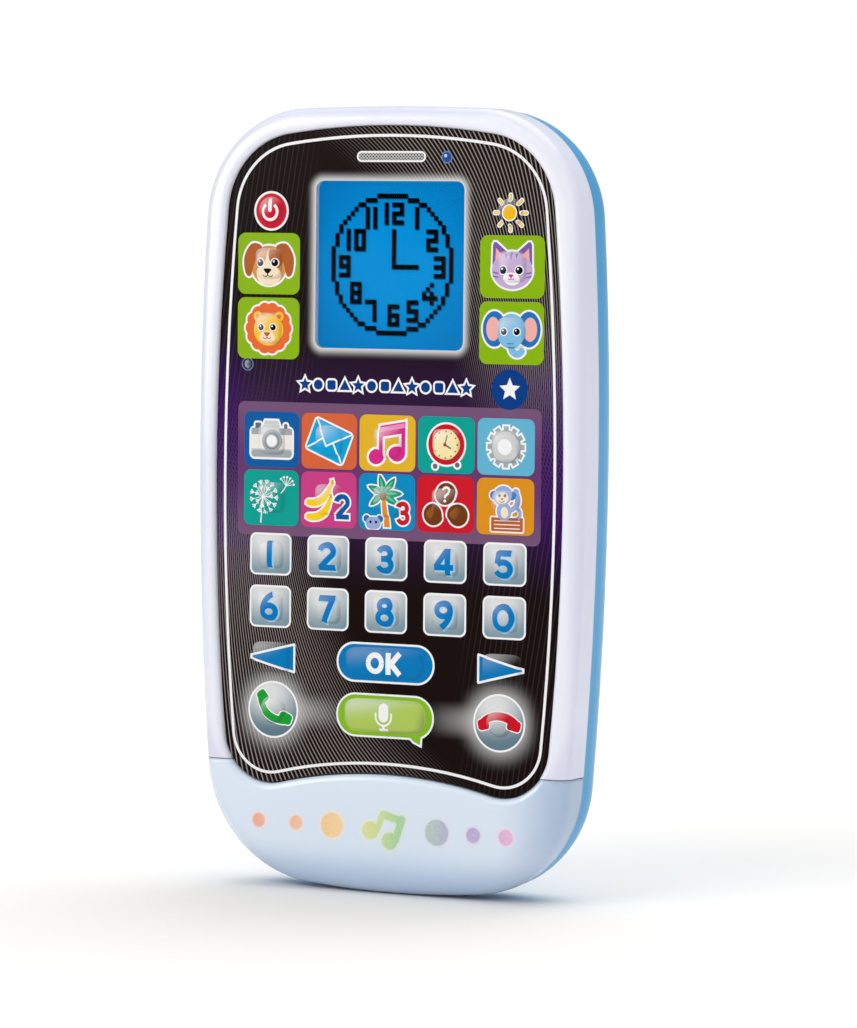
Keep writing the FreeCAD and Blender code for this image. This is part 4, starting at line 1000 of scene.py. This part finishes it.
GLOWS = {  # lit spots of the cover: place and radius in mm, colour at the left and at the right
    -29.5: (1.6, (244, 158, 124), (246, 172, 142)), -20.4: (1.6, (248, 180, 140), (250, 190, 152)),
    -11.7: (2.75, (250, 202, 130), (250, 212, 142)), 13.3: (2.85, (176, 198, 186), (172, 178, 202)),
    21.9: (1.7, (184, 160, 212), (190, 166, 216)), 29.5: (1.75, (226, 168, 208), (232, 178, 212)),
}
NOTE = (0.9, 14.3)  # middle of the lit note, on the row of the spots
NOTE_STROKES = [  # ends and half width, from the note's middle
    ((-3.3, -0.5), (-3.4, -0.5), 2.0), ((1.2, -2.5), (1.3, -2.5), 1.9),
    ((-1.9, -0.5), (-0.5, 3.1), 0.8), ((2.6, -2.2), (4.1, 2.2), 0.95),
    ((-0.3, 3.0), (4.0, 1.9), 0.95)]


def make_cover():
    """Milky plastic, darker and bluer towards the bottom and the right as painted shade, with the
    lamps' soft spots, and the note between them, showing through.
    """
    plain = (221, 233, 247)
    paint = Paint("cover", plain, 0.22, 0.01, soft=1.3, Specular_IOR_Level=0.5)
    x, z = paint.xz()
    smooth, mix = paint.smooth, paint.mix
    # painted shade: bluer and darker towards the bottom, and darker towards the right side
    colour = paint.over(plain, (smooth(z, 11, 3), (190, 209, 235)),
                        (smooth(x, 26, 43, 0.0, 0.85), (160, 181, 211)))
    speckle = smooth(paint.noise(0.35, 3.0), 0.25, 0.75, 0.72, 1.0)
    spots = [(paint.distance(column, NOTE[1]) - spot[0], column, *spot)
             for column, spot in GLOWS.items()]
    note = 100.0
    for first, second, half in NOTE_STROKES:
        note = paint.math("MINIMUM", note, paint.stroke(first, second, NOTE) - half)
    spots.append((note, NOTE[0], 4.5, (218, 224, 138), (160, 210, 142)))
    for depth, column, radius, left, right in spots:
        tint = mix(smooth(x, column - radius, column + radius), left, right)
        pale = mix(0.55, tint, (255, 250, 246))
        colour = paint.over(colour, (smooth(depth, 0.75, 0.1, 0.0, 0.5), pale),
                            (smooth(depth, 0.12, -0.3) * speckle, tint))
    return paint.colour(colour)


def tracks(paint):
    """Tracks and rows of pads on a board."""
    x, z = paint.xz()
    rows = stripes(paint, z + paint.smooth(paint.noise(9.0), 0.4, 0.6, 0.0, 3.0), 2.4, 0.25)
    columns = stripes(paint, x, 3.1, 0.2)
    return paint.mix(paint.smooth(paint.noise(14.0), 0.45, 0.55), rows, columns)


RAINBOW = {-20: (244, 140, 60), -8: (246, 206, 70), 4: (120, 196, 90), 15: (80, 160, 200),
           27: (190, 110, 200)}


def make_filter():
    """Clear film printed with the rainbow that colours the lamps."""
    paint = Paint("filter", (240, 150, 90), 0.25)
    x = paint.xz()[0]
    return paint.colour(paint.over((238, 92, 64), *(
        (paint.smooth(x, place - 5, place + 5), tint) for place, tint in RAINBOW.items())))


def make_cells():
    """Dark sleeve with a plain copper band, and bare steel at the ends."""
    sleeve = (36, 38, 44)
    paint = Paint("cells", sleeve, 0.3, Specular_IOR_Level=0.5)
    z = paint.xz()[1]
    low, high = (corner.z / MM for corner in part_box("battery_cells"))
    band = paint.smooth(z, high - 14.0, high - 13.6)
    ends = paint.math("MAXIMUM", paint.smooth(z, low + 1.9, low + 1.7),
                      paint.smooth(z, high - 1.4, high - 1.2))
    return paint.colour(paint.over(sleeve, (band, (196, 120, 62)), (ends, (186, 188, 192))))


def make_speaker():
    """Zinc-plated basket with a dark paper cone and a paler cap in the middle."""
    zinc = (150, 152, 156)
    paint = Paint("speaker", zinc, 0.35)
    far = paint.distance(*middle("speaker"))
    return paint.colour(paint.over((30, 30, 33), (stripes(paint, far, 1.3, 0.3), (58, 58, 62)),
                                   (paint.smooth(far, 3.4, 3.2), (92, 92, 96)),
                                   (paint.smooth(far, 11.0, 11.3), zinc)))


def make_steel(name, colour, roughness):
    """Plated steel with fine brushing."""
    return Paint(name, colour, roughness, 0.08, 0.3, Metallic=1.0).material


def coil_gaps(node, side):
    """The dark gaps between the coils of a contact's spring, which is a plain sleeve."""
    def share(paint):
        x, z = paint.xz()
        low, high = (corner.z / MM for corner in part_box(node))
        within = ((x * side > 0.5) * (z > low + (0.6 if side < 0 else 0.0))
                  * (z < (low + 3.4 if side > 0 else high)))
        return within * stripes(paint, z, 0.9, 0.45)
    return two_tone(node, (196, 196, 200), (40, 38, 36), share, 0.25, 0.08, 0.3, Metallic=1.0)


def make_display():
    """Lit blue glass, a little deeper towards its edges."""
    paint = Paint("display", (0, 50, 78), 0.4, Specular_IOR_Level=0.0, Emission_Strength=0.9)
    edge = paint.smooth(paint.distance(0, WINDOW_ROW), 6, 24)
    paint.put(paint.bsdf.inputs["Emission Color"], paint.mix(edge, (0, 138, 208), (0, 116, 184)))
    return paint.colour(paint.mix(edge, (0, 52, 80), (0, 42, 68)))


LOOKS = [  # a material and the nodes it goes on
    # the bezel is paler next to the film, a painted highlight
    (two_tone("bezel", (220, 223, 242), (236, 238, 249), painted_highlight_by_film, 0.26, soft=0.5,
              Specular_IOR_Level=0.45), "front_case"),
    (two_tone("rear", (58, 158, 213), (56, 156, 211), drift(12.0), 0.3, 0.05, 0.5),
     "rear_case", "battery_cover"),
    (make_steel("screw_steel", (176, 178, 184), 0.3),
     "battery_cover_screw", "case_screws", "board_screws"),
    (two_tone("board", (18, 82, 44), (44, 128, 74), tracks, 0.35, 0.04, 0.4),
     "main_board", "light_board"),
    (make_steel("contact_steel", (206, 206, 208), 0.22), "microphone", "positive_contact"),
    (two_tone("silicone", (196, 198, 202), (186, 188, 194), drift(2.0), 0.55),
     "key_mat", "microphone_boot"),
    (two_tone("wire", (190, 24, 28), (28, 28, 32),  # red on one wire, black on the other
              lambda paint: paint.smooth(paint.xz()[0], -0.1, 0.1, 1.0, 0.0), 0.4),
     "speaker_wires", "battery_wires", "light_wires"),
    (make_cover(), "light_cover"), (make_display(), "screen_glass"),
    (Paint("clear_lens", (252, 253, 255), 0.02, 0, Transmission_Weight=1.0, IOR=1.12).material,
     "screen_lens"),
    (two_tone("white_plastic", (228, 230, 240), (222, 224, 236), drift(2.0), 0.4),
     "screen_holder"),
    (two_tone("light_block", (90, 170, 226), (70, 150, 214), drift(2.0), 0.5), "backlight"),
    (two_tone("contact_strip", (206, 120, 130), (40, 36, 40),  # conducting layers in rubber
              lambda paint: stripes(paint, paint.xz()[0], 0.5, 0.5), 0.6),
     "screen_contact_strip"),
    (two_tone("foam", (36, 36, 40), (50, 50, 54), drift(0.4), 0.95), "speaker_gasket"),
    (make_filter(), "color_filter"), (make_speaker(), "speaker"), (make_cells(), "battery_cells"),
    (coil_gaps("bridge_contact", -1), "bridge_contact"),
    (coil_gaps("negative_contact", 1), "negative_contact"),
]
for material, *nodes in LOOKS:
    for node in nodes:
        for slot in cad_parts[node].material_slots:
            slot.material = material


# ---- floor, light and camera

FLOOR = 40.0  # metres from the middle to each side
CAMERA_TURN, CAMERA_RISE, CAMERA_ROLL = (math.radians(a) for a in (27.680, 3.281, 0.568))
CAMERA_TARGET = Vector((0, -9.6, 80.6)) * MM
CAMERA_AWAY = Vector((8.772, 0, 1041.26)) * MM  # from the target, along the camera's own axes


def add_lamp(kind, name, place, target, power, **values):
    data = bpy.data.lights.new(name, kind)
    data.energy = power
    for setting, value in values.items():
        setattr(data, setting, value)
    lamp = add_object(name, data)
    lamp.location = place
    lamp.rotation_euler = (Vector(target) - Vector(place)).to_track_quat("-Z", "Y").to_euler()
    return lamp


def make_camera():
    data = bpy.data.cameras.new("camera")
    data.sensor_fit, data.sensor_width, data.lens = "HORIZONTAL", 36.0, 208.25
    data.clip_start, data.clip_end = 0.05, 20
    camera = add_object("camera", data)
    matrix = (Matrix.Rotation(CAMERA_TURN, 4, "Z")
              @ Matrix.Rotation(math.pi / 2 - CAMERA_RISE, 4, "X")
              @ Matrix.Rotation(CAMERA_ROLL, 4, "Z"))
    matrix.translation = CAMERA_TARGET + matrix.to_3x3() @ CAMERA_AWAY
    camera.matrix_world = matrix
    scene.camera = camera


def make_world():
    """Soft light from all round, and plain white where the camera looks past the floor."""
    world = bpy.data.worlds.new("studio")
    scene.world = world
    world.use_nodes = True
    nodes, links = world.node_tree.nodes, world.node_tree.links
    mix = nodes.new("ShaderNodeMixShader")
    links.new(nodes.new("ShaderNodeLightPath").outputs["Is Camera Ray"], mix.inputs[0])
    for socket, background, colour, strength in (
            (1, nodes["Background"], (0.985, 0.99, 1.0, 1), 0.45),
            (2, nodes.new("ShaderNodeBackground"), (1, 1, 1, 1), 1.0)):
        background.inputs["Color"].default_value = colour
        background.inputs["Strength"].default_value = strength
        links.new(background.outputs[0], mix.inputs[socket])
    links.new(mix.outputs[0], nodes["World Output"].inputs["Surface"])


floor_paint = Paint("floor_paint", (248, 246, 243), 0.9, 0.01, 4.0, Specular_IOR_Level=0.1)
floor = add_mesh("floor", [(-FLOOR, -FLOOR, 0), (FLOOR, -FLOOR, 0), (FLOOR, FLOOR, 0),
                           (-FLOOR, FLOOR, 0)], [(0, 1, 2, 3)], floor_paint.material)
make_world()
for name, place, power, softness in (("top", (0.05, 0.3, 1.0), 1.75, 60),
                                     ("key", (-0.4, -1.0, 0.9), 0.75, 40),
                                     ("fill", (1.0, -1.0, 0.4), 0.3, 40)):
    add_lamp("SUN", name, place, (0, 0, 0), power, angle=math.radians(softness))
softbox = add_lamp("AREA", "softbox", (-1.35, -1.4, 0.48), (0, 0, 0.08), 30,
                   shape="RECTANGLE", size=0.9, size_y=0.75)
softbox.visible_diffuse = False
make_camera()
scene.view_settings.view_transform = "Standard"
